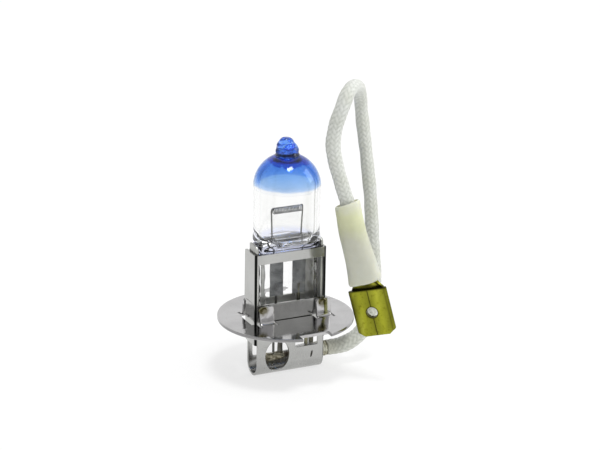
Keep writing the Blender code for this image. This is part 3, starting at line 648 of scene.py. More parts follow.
def glass_fibre():
    """Woven glass yarn: off-white, with painted shade down between the strands, and fine fibres."""
    made = Finish("glass_fibre_braid", Sheen_Weight=0.25, Sheen_Roughness=0.4, Specular_IOR_Level=0.6)
    depth = made.attribute("tone")
    stain = made.noise(150.0, 3.0, warp=0.5)
    off_whites = [(0.35, (0.73, 0.745, 0.68)), (0.6, (0.81, 0.825, 0.79)), (0.8, (0.86, 0.87, 0.85))]
    yarn = made.ramp(stain, off_whites)
    shade = made.ramp(depth, [(0.0, (0.36, 0.37, 0.35)), (0.4, (0.8, 0.81, 0.79)), (1.0, (1.0, 1.0, 1.0))])
    base = made.mixed(1.0, yarn, shade, "MULTIPLY")
    outward = made.math("ADD", made.height("X"), made.math("MULTIPLY", stain, 0.004))
    near_base = made.span(outward, 0.0115, 0.0085)
    soiled = made.math("MULTIPLY", near_base, made.span(made.height(), -0.0045, -0.0055, 0.0, 0.75))
    base = made.mixed(soiled, base, (0.5, 0.49, 0.4))
    fibre = made.noise(1.0, 2.0, vector=made.attribute("fibre", "Vector"))
    thread = made.ramp(fibre, [(0.3, (0.86, 0.87, 0.84)), (0.6, (1.0, 1.0, 1.0))])
    made.colour(made.mixed(1.0, base, thread, "MULTIPLY"))
    spark = made.noise(1.0, 1.0, vector=made.attribute("fibre", "Vector"), warp=2.0)
    made.roughness(made.span(spark, 0.58, 0.66, 0.75, 0.22))
    made.relief(fibre, 0.00004)
    return made.data


def silicone(low, high):
    """Soft ivory sleeve: greenish-yellow at its lead end, with a matt, slightly uneven skin."""
    made = Finish(
        "silicone_sleeve", Subsurface_Weight=0.35, Subsurface_Scale=0.0012, Specular_IOR_Level=0.35,
        Subsurface_Radius=(1.0, 0.9, 0.6),
    )
    wander = made.math("MULTIPLY", made.noise(330.0, 3.0), 0.004)
    height = made.math("ADD", made.height(), wander)
    share = made.span(height, low, high + 0.002)
    bands = [
        (0.0, (0.65, 0.66, 0.53)), (0.3, (0.66, 0.67, 0.57)), (0.6, (0.6, 0.605, 0.5)),
        (0.74, (0.64, 0.66, 0.44)), (0.88, (0.71, 0.735, 0.47)), (1.0, (0.75, 0.76, 0.62)),
    ]
    base = made.ramp(share, bands)
    mottle = made.ramp(made.noise(1100.0, 4.0), [(0.3, (0.95, 0.95, 0.94)), (0.7, (1.0, 1.0, 1.0))])
    made.colour(made.mixed(1.0, base, mottle, "MULTIPLY"))
    made.roughness(made.span(made.noise(700.0, 3.0), 0.3, 0.7, 0.42, 0.6))
    made.relief(made.noise(1900.0, 3.0), 0.00001)
    return made.data


def resin():
    """Fibre end stiffened with resin, stained brown in patches."""
    made = Finish("lead_end_resin", Roughness=0.6, Specular_IOR_Level=0.4)
    patch = made.noise(650.0, 4.0, warp=0.8)
    tint = [
        (0.34, (0.2, 0.17, 0.09)), (0.47, (0.42, 0.41, 0.3)), (0.6, (0.6, 0.6, 0.5)), (0.8, (0.68, 0.68, 0.6)),
    ]
    made.colour(made.ramp(patch, tint))
    made.relief(made.noise(2200.0, 4.0), 0.00005)
    return made.data


def floor_paper():
    """The pale backlit sheet that the bulb stands on, a little dimmer towards the front."""
    made = Finish("floor_paper", Roughness=0.9, Specular_IOR_Level=0.0, Emission_Color=(1.0, 1.0, 1.0, 1.0))
    made.colour(made.ramp(made.noise(30.0, 3.0), [(0.3, (0.36, 0.36, 0.36)), (0.7, (0.38, 0.38, 0.38))]))
    glow = made.span(made.height("Y"), -0.12, 0.3, 0.62, 0.7)
    made.link(glow, made.shader.inputs["Emission Strength"])
    return made.data


# Camera, floor and light


def camera():
    """Look at the bulb from the front left, a little above it."""
    back = np.array([
        math.sin(CAMERA_YAW) * math.cos(CAMERA_ELEVATION),
        -math.cos(CAMERA_YAW) * math.cos(CAMERA_ELEVATION),
        math.sin(CAMERA_ELEVATION),
    ])
    level = np.array([math.cos(CAMERA_YAW), math.sin(CAMERA_YAW), 0.0])
    upright = np.cross(back, level)
    right = math.cos(CAMERA_ROLL) * level + math.sin(CAMERA_ROLL) * upright
    up = math.cos(CAMERA_ROLL) * upright - math.sin(CAMERA_ROLL) * level
    aim = level * CAMERA_AIM_RIGHT + np.array([0.0, 0.0, CAMERA_AIM_Z])
    place = (aim + back * CAMERA_DISTANCE) * MM
    lens = bpy.data.cameras.new("portrait_camera")
    lens.sensor_width = 36.0
    lens.lens = CAMERA_LENS
    lens.clip_start = 0.01
    lens.clip_end = 20.0
    seen_from = bpy.data.objects.new("portrait_camera", lens)
    bpy.context.scene.collection.objects.link(seen_from)
    axes = Matrix((right, up, back)).transposed().to_4x4()
    seen_from.matrix_world = Matrix.Translation(place) @ axes
    bpy.context.scene.camera = seen_from


def softbox(name, direction, distance, size, radiance, aim=(0.0, 0.0, 0.012)):
    """Add a rectangular light of a given brightness that faces the bulb."""
    data = bpy.data.lights.new(name, "AREA")
    data.shape = "RECTANGLE"
    data.size, data.size_y = size
    data.energy = radiance * math.pi * size[0] * size[1]
    lamp = bpy.data.objects.new(name, data)
    bpy.context.scene.collection.objects.link(lamp)
    away = Vector(direction).normalized()
    lamp.location = Vector(aim) + away * distance
    lamp.rotation_mode = "QUATERNION"
    lamp.rotation_quaternion = away.to_track_quat("Z", "Y")


def surround():
    """A bright room behind the bulb that dims towards the front and the left."""
    world = bpy.data.worlds.new("studio")
    bpy.context.scene.world = world
    world.use_nodes = True
    nodes, links = world.node_tree.nodes, world.node_tree.links
    place = nodes.new("ShaderNodeTexCoord")
    axes = nodes.new("ShaderNodeSeparateXYZ")
    links.new(place.outputs["Generated"], axes.inputs["Vector"])
    product = nodes.new("ShaderNodeMath")
    product.operation = "MULTIPLY"
    for i, (axis, limits) in enumerate((("Y", (-0.1, 0.7, 0.72, 0.97)), ("X", (-0.5, 0.1, 0.5, 1.0)))):
        fade = nodes.new("ShaderNodeMapRange")
        for name, value in zip(("From Min", "From Max", "To Min", "To Max"), limits):
            fade.inputs[name].default_value = value
        links.new(axes.outputs[axis], fade.inputs["Value"])
        links.new(fade.outputs["Result"], product.inputs[i])
    links.new(product.outputs["Value"], nodes["Background"].inputs["Strength"])
    nodes["Background"].inputs["Color"].default_value = (1.0, 1.0, 1.0, 1.0)


def studio():
    """A pale floor just under the base, an even bright surround and soft lights."""
    low = CAD_LOW.z - 0.05 * MM
    sheet = bmesh.new()
    bmesh.ops.create_grid(sheet, x_segments=8, y_segments=8, size=3.0)
    data = bpy.data.meshes.new("floor")
    sheet.to_mesh(data)
    sheet.free()
    data.materials.append(floor_paper())
    floor = bpy.data.objects.new("floor", data)
    floor.location = (0.0, 0.0, low)
    bpy.context.scene.collection.objects.link(floor)
    surround()
    softbox("overhead_softbox", (0.03, -0.26, 0.966), 0.5, (0.15, 0.1), 22.0)
    softbox("side_softbox", (0.85, -0.35, 0.45), 0.7, (0.4, 0.4), 2.2)
    bpy.context.scene.view_settings.view_transform = "Standard"


# Lead


def braid_surface(rows, sides, swell):
    """Return the braid's radius, how proud each place is, and coordinates that run with its fibres."""
    along = np.linspace(0.0, LEAD_LENGTH, rows)[:, None]
    round_share = np.arange(sides)[None, :] / sides
    right = BRAID_CARRIERS * (round_share + along / BRAID_PITCH)
    left = BRAID_CARRIERS * (round_share - along / BRAID_PITCH)
    right_strand, left_strand = np.round(right), np.round(left)
    right_lift = np.cos(math.pi / 2 * (right_strand + left) - math.pi / 4)
    left_lift = -np.cos(math.pi / 2 * (left_strand + right) - math.pi / 4)
    right_crown = 1 - (2 * (right - right_strand)) ** 2
    left_crown = 1 - (2 * (left - left_strand)) ** 2
    right_height = STRAND_CROWN * right_crown + STRAND_LIFT * right_lift
    left_height = STRAND_CROWN * left_crown + STRAND_LIFT * left_lift
    height = np.maximum(right_height, left_height)
    top = STRAND_CROWN + STRAND_LIFT
    radius = swell[:, None] - top + height
    proud = np.clip((height + STRAND_LIFT * 0.3) / (top + STRAND_LIFT * 0.3), 0.0, 1.0)
    over = right_height >= left_height
    across_fibre = np.where(over, (right - right_strand) * 9.0, (left - left_strand) * 9.0 + 40.0)
    with_fibre = np.where(over, left * 0.9, right * 0.9)
    number = np.where(over, right_strand, left_strand + 60.0) * 1.7
    return radius, proud, np.stack([across_fibre, with_fibre, number], axis=-1)


def lead_braid():
    """The woven lead along its whole route, with each place's height and fibre direction kept."""
    line = smooth_line(LEAD_ROUTE, LEAD_ROWS)
    share = np.linspace(0.0, 1.0, LEAD_ROWS)
    swell = np.interp(share, *zip(*LEAD_SWELL))
    swell += 0.025 * np.sin(share * 61.0) + 0.02 * np.sin(share * 137.0 + 1.0)
    radius, proud, fibre = braid_surface(LEAD_ROWS, LEAD_SIDES, swell)
    shape = Shape()
    shape.tube(round_rings(line, radius, LEAD_SIDES), value=proud)
    braid = shape.piece("braided_lead", glass_fibre(), ["lead_braid"], 80.0)
    layer = braid.data.attributes.new("fibre", "FLOAT_VECTOR", "POINT")
    layer.data.foreach_set("vector", fibre.reshape(-1).astype(np.float32))
    return braid, line


def sleeve_section(share):
    """Return the sleeve's centre, half width and half depth at a share of its length from the lead end."""
    table = np.array([(*centre, width, depth) for centre, width, depth in SLEEVE_STATIONS])
    line = smooth_line(table, 200)
    return np.array([np.interp(share, np.linspace(0, 1, 200), line[:, k]) for k in range(5)])


def sleeve_rings(inset, shares, lip):
    """Return rings of the sleeve's skin, moved in by inset; lip trims the wall at both ends."""
    wide = np.array(BLADE_TURN.to_matrix() @ Vector((1, 0, 0)))
    sides = 72
    angle = 2 * math.pi * (np.arange(sides) + 0.5) / sides
    rings = []
    for share in shares:
        *centre, half_width, half_depth = sleeve_section(share)
        ahead = sleeve_section(min(share + 0.02, 1.0))[:3]
        behind = sleeve_section(max(share - 0.02, 0.0))[:3]
        tangent = (ahead - behind) / np.linalg.norm(ahead - behind)
        depth = np.cross(tangent, wide)
        depth /= np.linalg.norm(depth)
        width = np.cross(depth, tangent)
        power = 2.0 + 0.7 * share
        trim = lip * max(0.0, 1 - min(share, 1 - share) / 0.02)
        wave = 1 + 0.012 * np.sin(2 * angle + 9 * share) + 0.008 * np.sin(5 * angle - 17 * share)
        x = np.sign(np.cos(angle)) * np.abs(np.cos(angle)) ** (2 / power) * (half_width * wave - inset - trim)
        y = np.sign(np.sin(angle)) * np.abs(np.sin(angle)) ** (2 / power) * (half_depth * wave - inset - trim)
        x *= 1 + 0.05 * max(0.0, 1 - share / 0.15)
        tilt = 0.5 * np.cos(angle - 0.5) * max(0.0, 1 - share / 0.14)
        tilt += 0.4 * np.cos(angle) * max(0.0, 1 - (1 - share) / 0.14)
        ring = np.array(centre) + x[:, None] * width + y[:, None] * depth - tilt[:, None] * tangent
        rings.append(ring)
    return np.array(rings)


def terminal_sleeve():
    """Soft tube with a real wall and rounded lips, flattened where it grips the terminal."""
    shares = np.concatenate([[0.0, 0.006], np.linspace(0.02, 0.98, 70), [0.994, 1.0]])
    outer = sleeve_rings(0.0, shares, 0.13)
    inner = sleeve_rings(SLEEVE_WALL, shares, -0.1)[::-1]
    shape = Shape()
    shape.tube(np.concatenate([outer, inner]), loop=True)
    low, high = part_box("terminal_sleeve")
    finish = silicone(low.z, high.z)
    return shape.piece("insulating_sleeve", finish, ["terminal_sleeve"], 60.0)


def blade_fold():
    """Return the fold that closes the blade to a double sheet, with the sizes of its runs."""
    straight = BLADE_HALF_WIDTH - BLADE_SHEET
    bend = math.pi * BLADE_SHEET / 2
    flap = straight - 0.03
    mid = BLADE_SHEET / 2
    runs = [(flap, 0), (bend, 180), (2 * straight, 0), (bend, 180), (flap, 0)]
    path = Bends((-0.03, -mid), 180.0, runs)
    centre = flap + bend + straight
    return path, centre, straight, bend


def blade_body():
    """The blade's sheet: folded in from both edges so that the flaps meet in a seam."""
    path, centre, straight, bend = blade_fold()
    end = straight + bend + straight - 0.03
    cut_x, cut_z = BLADE_CHAMFER
    fold_x = straight + bend / 2
    notch = cut_x - BLADE_SHEET + bend / 2
    outline = [(-end, -0.12), (-end, -BLADE_LENGTH + 0.05), (-fold_x - notch, -BLADE_LENGTH)]
    outline += [(-fold_x, cut_z - BLADE_LENGTH), (-fold_x + notch, -BLADE_LENGTH)]
    outline += [(fold_x - notch, -BLADE_LENGTH), (fold_x, cut_z - BLADE_LENGTH)]
    outline += [(fold_x + notch, -BLADE_LENGTH), (end, -BLADE_LENGTH + 0.05), (end, -0.12)]
    bite = []
    for sign, start in ((1, 90.0), (-1, -90.0)):
        middle = (sign * end, -BLADE_LENGTH / 2)
        bite.append(arc(middle, BLADE_HOLE_RADIUS, start, start + 180.0, 14))
    left = outline[:1] + bite[1][::-1] + outline[1:9]
    whole = left + bite[0][::-1] + outline[9:]
    hole = oval((0.0, -BLADE_LENGTH / 2), (BLADE_HOLE_RADIUS,) * 2, 28)
    flat = flat_pattern(whole, [hole], BLADE_SHEET, 0.07)
    split_along(flat, 0, [d - centre for d in path.splits(8)])
    split_along(flat, 0, list(np.linspace(-straight * 0.85, straight * 0.85, 9)))
    pillow = 0.06

    def fold(x, z):
        (across, depth), (side_x, side_y) = path.at(x + centre)
        crown = max(0.0, 1 - (abs(abs(across) - straight / 2) / (straight / 2)) ** 2)
        front = 1.0 if side_y < -0.5 else 0.0
        swell = pillow * crown * front * min(1.0, -z / 0.6, (BLADE_LENGTH + z) / 0.6) if z < 0 else 0.0
        return (across + side_x * swell, depth + side_y * swell, z), (side_x, side_y, 0.0)

    return folded(flat, fold)


def blade_neck(shape):
    """Sheet that runs up from the blade's back layer and curls round the wire inside the sleeve."""
    stations = [
        (-0.5, 2.7, 0.02, 0.2), (0.0, 2.62, 0.1, 0.2), (0.5, 2.3, 0.22, 0.35), (1.1, 2.15, 0.42, 0.6),
        (1.8, 2.5, 0.7, 0.85), (2.6, 3.0, 0.92, 1.05), (4.0, 3.1, 0.95, 1.1), (5.4, 3.1, 0.95, 1.1),
    ]
    table = smooth_line(stations, 26)
    rows = []
    for z, half_arc, curl, back in table:
        s = np.linspace(-half_arc, half_arc, 25)
        x, y = np.sin(curl * s) / curl, back - (1 - np.cos(curl * s)) / curl
        normal = np.stack([np.sin(curl * s), np.cos(curl * s)], axis=1)
        outer = np.stack([x, y], axis=1) + normal * BLADE_SHEET / 2
        inner = np.stack([x, y], axis=1) - normal * BLADE_SHEET / 2
        ring = np.concatenate([outer, inner[::-1]])[::-1]
        rows.append(np.column_stack([ring, np.full(len(ring), z)]))
    shape.tube(rows)


def blade_terminal():
    """The folded blade with its neck, turned and moved to the end of the lead."""
    shape = Shape()
    shape.mesh(blade_body())
    blade_neck(shape)
    local = np.array(shape.points, np.float32)
    shape.turned(BLADE_TURN.to_matrix(), BLADE_TOP)
    made = shape.piece("blade", brass(), ["blade_terminal"], 40.0, weighted=True)
    layer = made.data.attributes.new("local", "FLOAT_VECTOR", "POINT")
    layer.data.foreach_set("vector", local.reshape(-1))
    return made


# Capsule


def capsule_section(z, top_radius):
    """Return half width, half depth and squareness of the capsule at a height below the dome."""
    share = min(max((z - SHOULDER_LOW) / (SHOULDER_HIGH - SHOULDER_LOW), 0.0), 1.0)
    share = share * share * (3 - 2 * share)
    width = PINCH_HALF_WIDTH + (top_radius - PINCH_HALF_WIDTH) * share
    depth = PINCH_HALF_DEPTH + (top_radius - PINCH_HALF_DEPTH) * share
    return width, depth, 8.0 + (2.0 - 8.0) * share ** 0.5


def dome(centre_z, radius, end_radius, steps, sides=96):
    """Return level rings up a dome, from its widest ring to one of the end radius."""
    last = math.acos(end_radius / radius)
    rings = []
    for angle in np.linspace(0.0, last, steps):
        size = radius * math.cos(angle)
        rings.append(level_ring(centre_z + radius * math.sin(angle), size, size, sides=sides))
    return rings


def quartz_capsule():
    """Clear tube with its dome, pressed shoulder and pinch, and the gas space inside."""
    low, high = box_mm("glass_envelope")
    radius = high[0]
    dome_z = box_mm("blue_filter_coat")[0][2]
    shape = Shape()
    rings = [level_ring(low[2], 4.85, 1.1, 6.0), level_ring(low[2] + 0.06, 5.0, 1.24, 7.0)]
    heights = list(np.linspace(low[2] + 0.2, SHOULDER_LOW, 34))
    heights += list(np.linspace(SHOULDER_LOW + 0.15, SHOULDER_HIGH, 26))
    for z in heights + list(np.linspace(14.8, dome_z - 0.4, 8)):
        width, depth, power = capsule_section(z, radius)
        ring = level_ring(z, width, depth, power)
        if z < 11.2:
            ring = pressed(ring, z, depth)
        rings.append(ring)
    rings += dome(dome_z, radius, 0.02, 30)
    shape.tube(rings)
    inner = radius - GLASS_WALL
    floor = [
        (13.85, 0.05, 0.05, 2.0), (13.8, 1.2, 0.7, 2.0), (13.6, 2.4, 1.6, 2.0), (13.35, 3.25, 2.5, 2.0),
        (13.2, 3.85, 3.2, 2.0), (13.35, 4.2, 3.75, 2.0), (13.8, 4.35, 4.15, 2.0), (14.6, 4.45, 4.42, 2.0),
        (16.0, 4.45, 4.45, 2.0),
    ]
    cavity = [level_ring(z, a, b, power) for z, a, b, power in smooth_line(floor, 24)]
    cavity += [level_ring(z, inner, inner) for z in np.linspace(16.8, dome_z - 0.5, 6)]
    cavity += crown(dome_z, inner)
    shape.tube(cavity, inward=True)
    return shape.piece("quartz_capsule", clear_quartz(), ["glass_envelope"], 60.0)


def pressed(ring, z, depth):
    """Press the jaw marks into both faces of the pinch: a shallow panel with ribs."""
    x, y = ring[:, 0], ring[:, 1]
    inside = 1 / (1 + np.exp((np.abs(x) - 4.6) * 9))
    inside = inside / (1 + math.exp((2.3 - z) * 9)) / (1 + math.exp((z - 10.1) * 9))
    rib = 0.05 * math.sin(z * 2.6) + 0.03 * np.sin(x * 3.1 + z * 1.7)
    ring[:, 1] = y - np.sign(y) * (0.14 + rib) * inside * (np.abs(y) > depth * 0.6)
    return ring


def crown(dome_z, inner):
    """Inner wall of the dome, flattened at the top where the tip's thick glass hangs in."""
    rings = []
    for angle in np.linspace(0.03, 1.02, 16):
        size = inner * math.cos(angle)
        rings.append(level_ring(dome_z + inner * math.sin(angle), size, size))
    top = dome_z + inner * math.sin(1.02)
    for size, rise in ((2.1, 0.2), (1.85, 0.16), (1.5, -0.02), (1.0, -0.12), (0.5, -0.05), (0.1, 0.2)):
        rings.append(level_ring(top + rise, size, size))
    return rings


def blue_dome_coat():
    """The blue layer on the dome, with an open lower rim and a hole for the tip."""
    low, high = box_mm("blue_filter_coat")
    outer, inner = high[0], high[0] - 0.05
    end = 1.93
    shape = Shape()
    skin = dome(low[2], outer, end, 44) + dome(low[2], inner, end, 44)[::-1]
    shape.tube(skin, loop=True)
    crown_z = (low[2] + math.sqrt(outer ** 2 - 2.95 ** 2)) * MM
    finish = blue_coat(low[2] * MM, crown_z)
    return shape.piece("blue_dome_coat", finish, ["blue_filter_coat"], 60.0)


def sealed_tip():
    """The exhaust tube's end, melted off with a twist, with a trapped bubble."""
    low, high = box_mm("exhaust_tip")
    seat = low[2] + 0.5
    top = high[2]
    profile = [
        (0.0, 1.86, 0.0, 0.0), (0.06, 1.98, 0.0, 0.0), (0.3, 1.9, -0.01, 0.0), (0.7, 1.78, -0.03, 0.02),
        (1.2, 1.68, -0.07, 0.03), (1.7, 1.54, -0.13, 0.04), (2.15, 1.36, -0.2, 0.03),
        (2.55, 1.12, -0.28, 0.0), (2.84, 0.84, -0.35, -0.02), (2.98, 0.5, -0.42, -0.03),
        (3.04, 0.05, -0.46, -0.03),
    ]
    sides = 64
    angle = 2 * math.pi * (np.arange(sides) + 0.5) / sides
    rings = []
    for rise, radius, x, y in smooth_line(profile, 60):
        free = min(1.0, rise / 0.5)
        twist = 2.1 * rise
        wave = 0.045 * np.sin(2 * angle + twist) + 0.03 * np.sin(3 * angle - 1.7 * twist + 0.8)
        wave += 0.02 * math.sin(7.5 * rise + 0.6) + 0.012 * np.sin(5 * angle + 3.0 * twist)
        ring = level_ring(seat + rise, 1.0, 1.0, sides=sides)
        ring[:, :2] *= (radius * (1 + free * wave))[:, None]
        ring[:, :2] += (x, y)
        ring[:, 2] += free * 0.07 * np.sin(angle + 2.4) * min(1.0, radius)
        rings.append(ring)
    shape = Shape()
    shape.tube(rings)
    bubble = []
    for share in np.linspace(0.03, 0.97, 14):
        size = math.sin(math.pi * share)
        z = seat + 0.45 + 1.5 * share
        bubble.append(level_ring(z, 0.95 * size, 0.62 * size, sides=32, centre=(0.25, -0.12)))
    shape.tube(bubble, inward=True)
    peak = smooth_line([(-0.62, -0.1, top - 0.5), (-0.72, -0.1, top - 0.2), (-0.8, -0.1, top - 0.02)], 8)
    shape.tube(round_rings(peak, np.linspace(0.34, 0.05, 8), 20))
    return shape.piece("sealed_tip", blue_tip(seat * MM), ["exhaust_tip"], 70.0)


# Filament and its feed


def coil_filament():
    """Fine coiled tungsten, its ends run out to the support legs."""
    low, high = box_mm("filament_coil")
    z = (low[2] + high[2]) / 2
    radius = (high[2] - low[2]) / 2 - 0.07
    start, end = low[0] + 0.12, high[0] - 0.12
    turns = 19
    angle = np.linspace(0.0, 2 * math.pi * turns, turns * 22)
    coil = np.stack([
        np.linspace(start, end, len(angle)), radius * np.sin(angle), z + radius * np.cos(angle),
    ], axis=1)
    lead_in = np.array([(start - 0.28, 0.0, z + radius - 0.1), (start - 0.12, -0.02, z + radius - 0.01)])
    lead_out = np.array([(end + 0.1, 0.02, z + radius), (end + 0.24, 0.0, z + radius - 0.08)])
    shape = Shape()
    shape.tube(round_rings(np.vstack([lead_in, coil, lead_out]), 0.085, 8))
    finish = dull_metal("tungsten_coil", (0.22, 0.22, 0.22), (0.48, 0.48, 0.47), 0.35)
    shape.piece("coil_filament", finish, ["filament_coil"], 60.0)


def support_leg(side, sign):
    """Wire that rises from the pinch, clamped round the coil's end by a bent hook."""
    low, high = box_mm(f"support_leg_{side}")
    wire = (high[0] - low[0]) / 2
    foot, head = (high[0], low[0]) if sign < 0 else (low[0], high[0])
    foot, head = foot + sign * 0.13, head - sign * 0.13
    knots = [
        (foot, 0.0, low[2]), (foot + sign * 0.03, 0.0, 12.4), (foot + sign * 0.1, 0.0, 15.0),
        (head - sign * 0.01, 0.0, high[2] - 1.0), (head, 0.0, high[2] - 0.15),
        (head - sign * 0.1, 0.02, high[2] + 0.06), (head - sign * 0.34, 0.03, high[2] + 0.02),
    ]
    line = smooth_line(knots, 60)
    shape = Shape()
    thick = np.full(60, min(wire, 0.13))
    thick[:8] = np.linspace(0.2, 0.13, 8)
    shape.tube(round_rings(line, thick, 14))
    dark, light = (0.1, 0.1, 0.095), (0.22, 0.22, 0.2)
    finish = dull_metal(f"leg_wire_{side}", dark, light, 0.3, stretch=(1.0, 1.0, 0.2))
    shape.piece(f"filament_leg_{side}", finish, [f"support_leg_{side}"], 60.0)


def foil(side, seed):
    """Sealing foil: thin, feather-edged and slightly rippled by the press."""
    low, high = box_mm(f"molybdenum_foil_{side}")
    rows, columns = 46, 20
    rings = []
    for z in np.linspace(low[2] - 0.4, high[2], rows):
        x = np.linspace(low[0], high[0], columns)
        middle = (low[0] + high[0]) / 2
        thin = 0.035 * (1 - ((x - middle) / (high[0] - middle)) ** 4) + 0.004
        ripple = 0.035 * np.sin(1.9 * z + seed) * np.cos(2.3 * (x - middle) + seed)
        ripple = ripple + 0.012 * np.sin(7 * z + 5 * x)
        front = np.stack([x, ripple - thin, np.full(columns, z)], axis=1)
        back = np.stack([x, ripple + thin, np.full(columns, z)], axis=1)[::-1]
        rings.append(np.concatenate([front, back]))
    shape = Shape()
    shape.tube(rings)
    finish = dull_metal(f"foil_{side}", (0.1, 0.107, 0.112), (0.2, 0.208, 0.21), 0.36, scale=520.0)
    shape.piece(f"sealing_foil_{side}", finish, [f"molybdenum_foil_{side}"], 60.0)


def outer_lead(name, node, knots, radius, colours):
    """One round wire between the pinch and the base."""
    shape = Shape()
    shape.tube(round_rings(smooth_line(knots, 70), radius, 18))
    finish = dull_metal(f"{name}_metal", *colours, 0.34, stretch=(1.0, 1.0, 0.25))
    shape.piece(name, finish, [node], 60.0)


def outer_leads():
    """The live and ground wires, from their foils down into the trough."""
    foot = box_mm("outer_lead_live")[0][2]
    shelf = box_mm("outer_lead_ground")[0][2]
    live = [(-1.87, 0.12, 5.2), (-1.87, 0.24, 3.9), (-1.87, 0.1, 1.2), (-1.9, 0.0, -0.2), (-2.05, 0.0, -2.5)]
    live += [(-2.1, 0.0, -4.5), (-2.1, 0.0, foot)]
    outer_lead("live_wire", "outer_lead_live", live, 0.2, ((0.05, 0.05, 0.05), (0.12, 0.12, 0.11)))
    ground = [(2.05, 0.12, 5.2), (2.05, 0.24, 3.9), (2.05, 0.1, 1.2), (2.12, -0.05, 0.2), (2.55, -0.5, -1.0)]
    ground += [(3.0, -0.95, -2.3), (3.15, -1.1, -3.5), (3.15, -1.1, shelf)]
    outer_lead("ground_wire", "outer_lead_ground", ground, 0.3, ((0.12, 0.115, 0.07), (0.26, 0.25, 0.17)))


# Base


def front_clamp(finish):
    """Outer sheet of the base, cut as one flat pattern and folded: plate, sides and trough."""
    low, high = box_mm("front_clamp")
    mid = SHEET / 2
    side_run = CLAMP_REAR_Y - low[1] - BEND
    turn = (BEND - mid) * math.pi / 2
    front_run = high[0] - low[0] - 2 * BEND
    walk = [(side_run, 0), (turn, 90), (front_run, 0), (turn, 90), (side_run, 0)]
    path = Bends((low[0] + mid, CLAMP_REAR_Y), -90.0, walk)
    shift = side_run + turn - (low[0] + BEND)
    radius = (high[1] - low[1]) / 2
    bend_z = low[2] + radius
    half_turn = math.pi * (radius - mid)
    end = bend_z - half_turn - (TROUGH_REAR_TOP - bend_z)
    left, right = -shift, 2 * side_run + 2 * turn + front_run - shift
    outline = [
        (left - STEP_DEPTH + 0.15, high[2]), (left - STEP_DEPTH, STEP_Z), (left, STEP_Z - 0.1),
        (left, LUG_BOTTOM + 0.25), (left + 0.25, LUG_BOTTOM), (TROUGH_LEFT, LUG_BOTTOM), (TROUGH_LEFT, end),
        (TROUGH_RIGHT, end), (TROUGH_RIGHT, LUG_BOTTOM),
        (right - 0.25, LUG_BOTTOM), (right, LUG_BOTTOM + 0.25),
        (right, STEP_Z - 0.1), (right + STEP_DEPTH, STEP_Z), (right + STEP_DEPTH - 0.15, high[2]),
    ]
    window = rounded([(-5.8, 2.85), (5.84, 2.85), (5.84, PLATE_WINDOW_TOP), (-5.8, PLATE_WINDOW_TOP)], 0.3)
    round_hole = oval((-2.27, -6.1), (2.1, 2.62), 56)
    slot = rounded([(0.92, -5.2), (4.86, -5.2), (4.86, -1.7), (0.92, -1.7)], 0.2)
    dent = [(x + 0.2 * (z + 6.75), z) for x, z in oval((3.8, -6.75), (0.15, 0.58), 24)]
    rear_low, rear_high = bend_z - half_turn - (-7.1 - bend_z), bend_z - half_turn - (-2.2 - bend_z)
    rear_hole = rounded([(-5.0, rear_low), (5.0, rear_low), (5.0, rear_high), (-5.0, rear_high)], 0.5)
    flat = flat_pattern(rounded(outline, 0.16), [window, round_hole, slot, dent, rear_hole], SHEET, EDGE)
    split_along(flat, 0, [d - shift for d in path.splits(8)])
    split_along(flat, 1, list(bend_z - half_turn * np.linspace(0.0, 1.0, 29)))
    creases = [side_run + turn / 2 - shift, side_run + turn + front_run - shift + 0.13]
    beside = (-5, -3, -2, -1, 0, 1, 2, 3, 5)
    split_along(flat, 0, [crease + step * 0.09 for crease in creases for step in beside])
    tones = []

    def fold(x, z):
        # Painted shade: the tone darkens the sheet along both front corner bends.
        tones.append(max(math.exp(-((x - crease) / 0.17) ** 2) for crease in creases))
        if z >= bend_z:
            (px, py), (nx, ny) = path.at(x + shift)
            return (px, py, z), (nx, ny, 0.0)
        past = (bend_z - z) / (radius - mid)
        middle = low[1] + radius
        if past < math.pi:
            ny, nz = -math.cos(past), -math.sin(past)
            return (x, middle + (radius - mid) * ny, bend_z + (radius - mid) * nz), (0.0, ny, nz)
        return (x, middle + radius - mid, bend_z + (bend_z - half_turn - z)), (0.0, 1.0, 0.0)

    shape = Shape()
    shape.mesh(folded(flat, fold))
    shape.values = tones
    add_shelf(shape, low)
    return shape.piece("clamp_front", finish, ["front_clamp"], 40.0, weighted=True)


def add_shelf(shape, low):
    """The tongue bent in from the slot, which the ground wire is welded to."""
    outline = [(1.0, low[1] + 0.12), (4.78, low[1] + 0.12), (4.78, -1.45)]
    outline += oval_end((2.89, -1.45), 1.89, 0.7)
    tongue = flat_pattern(outline, [], 0.28, 0.06)
    for vertex in tongue.verts:
        vertex.co.z += -5.35
    shape.mesh(tongue)


def oval_end(centre, half_width, depth):
    """Return points round the far half of an oval."""
    angles = np.linspace(0.15, 3.0, 16)
    return [(centre[0] + half_width * math.cos(a), centre[1] + depth * math.sin(a)) for a in angles]


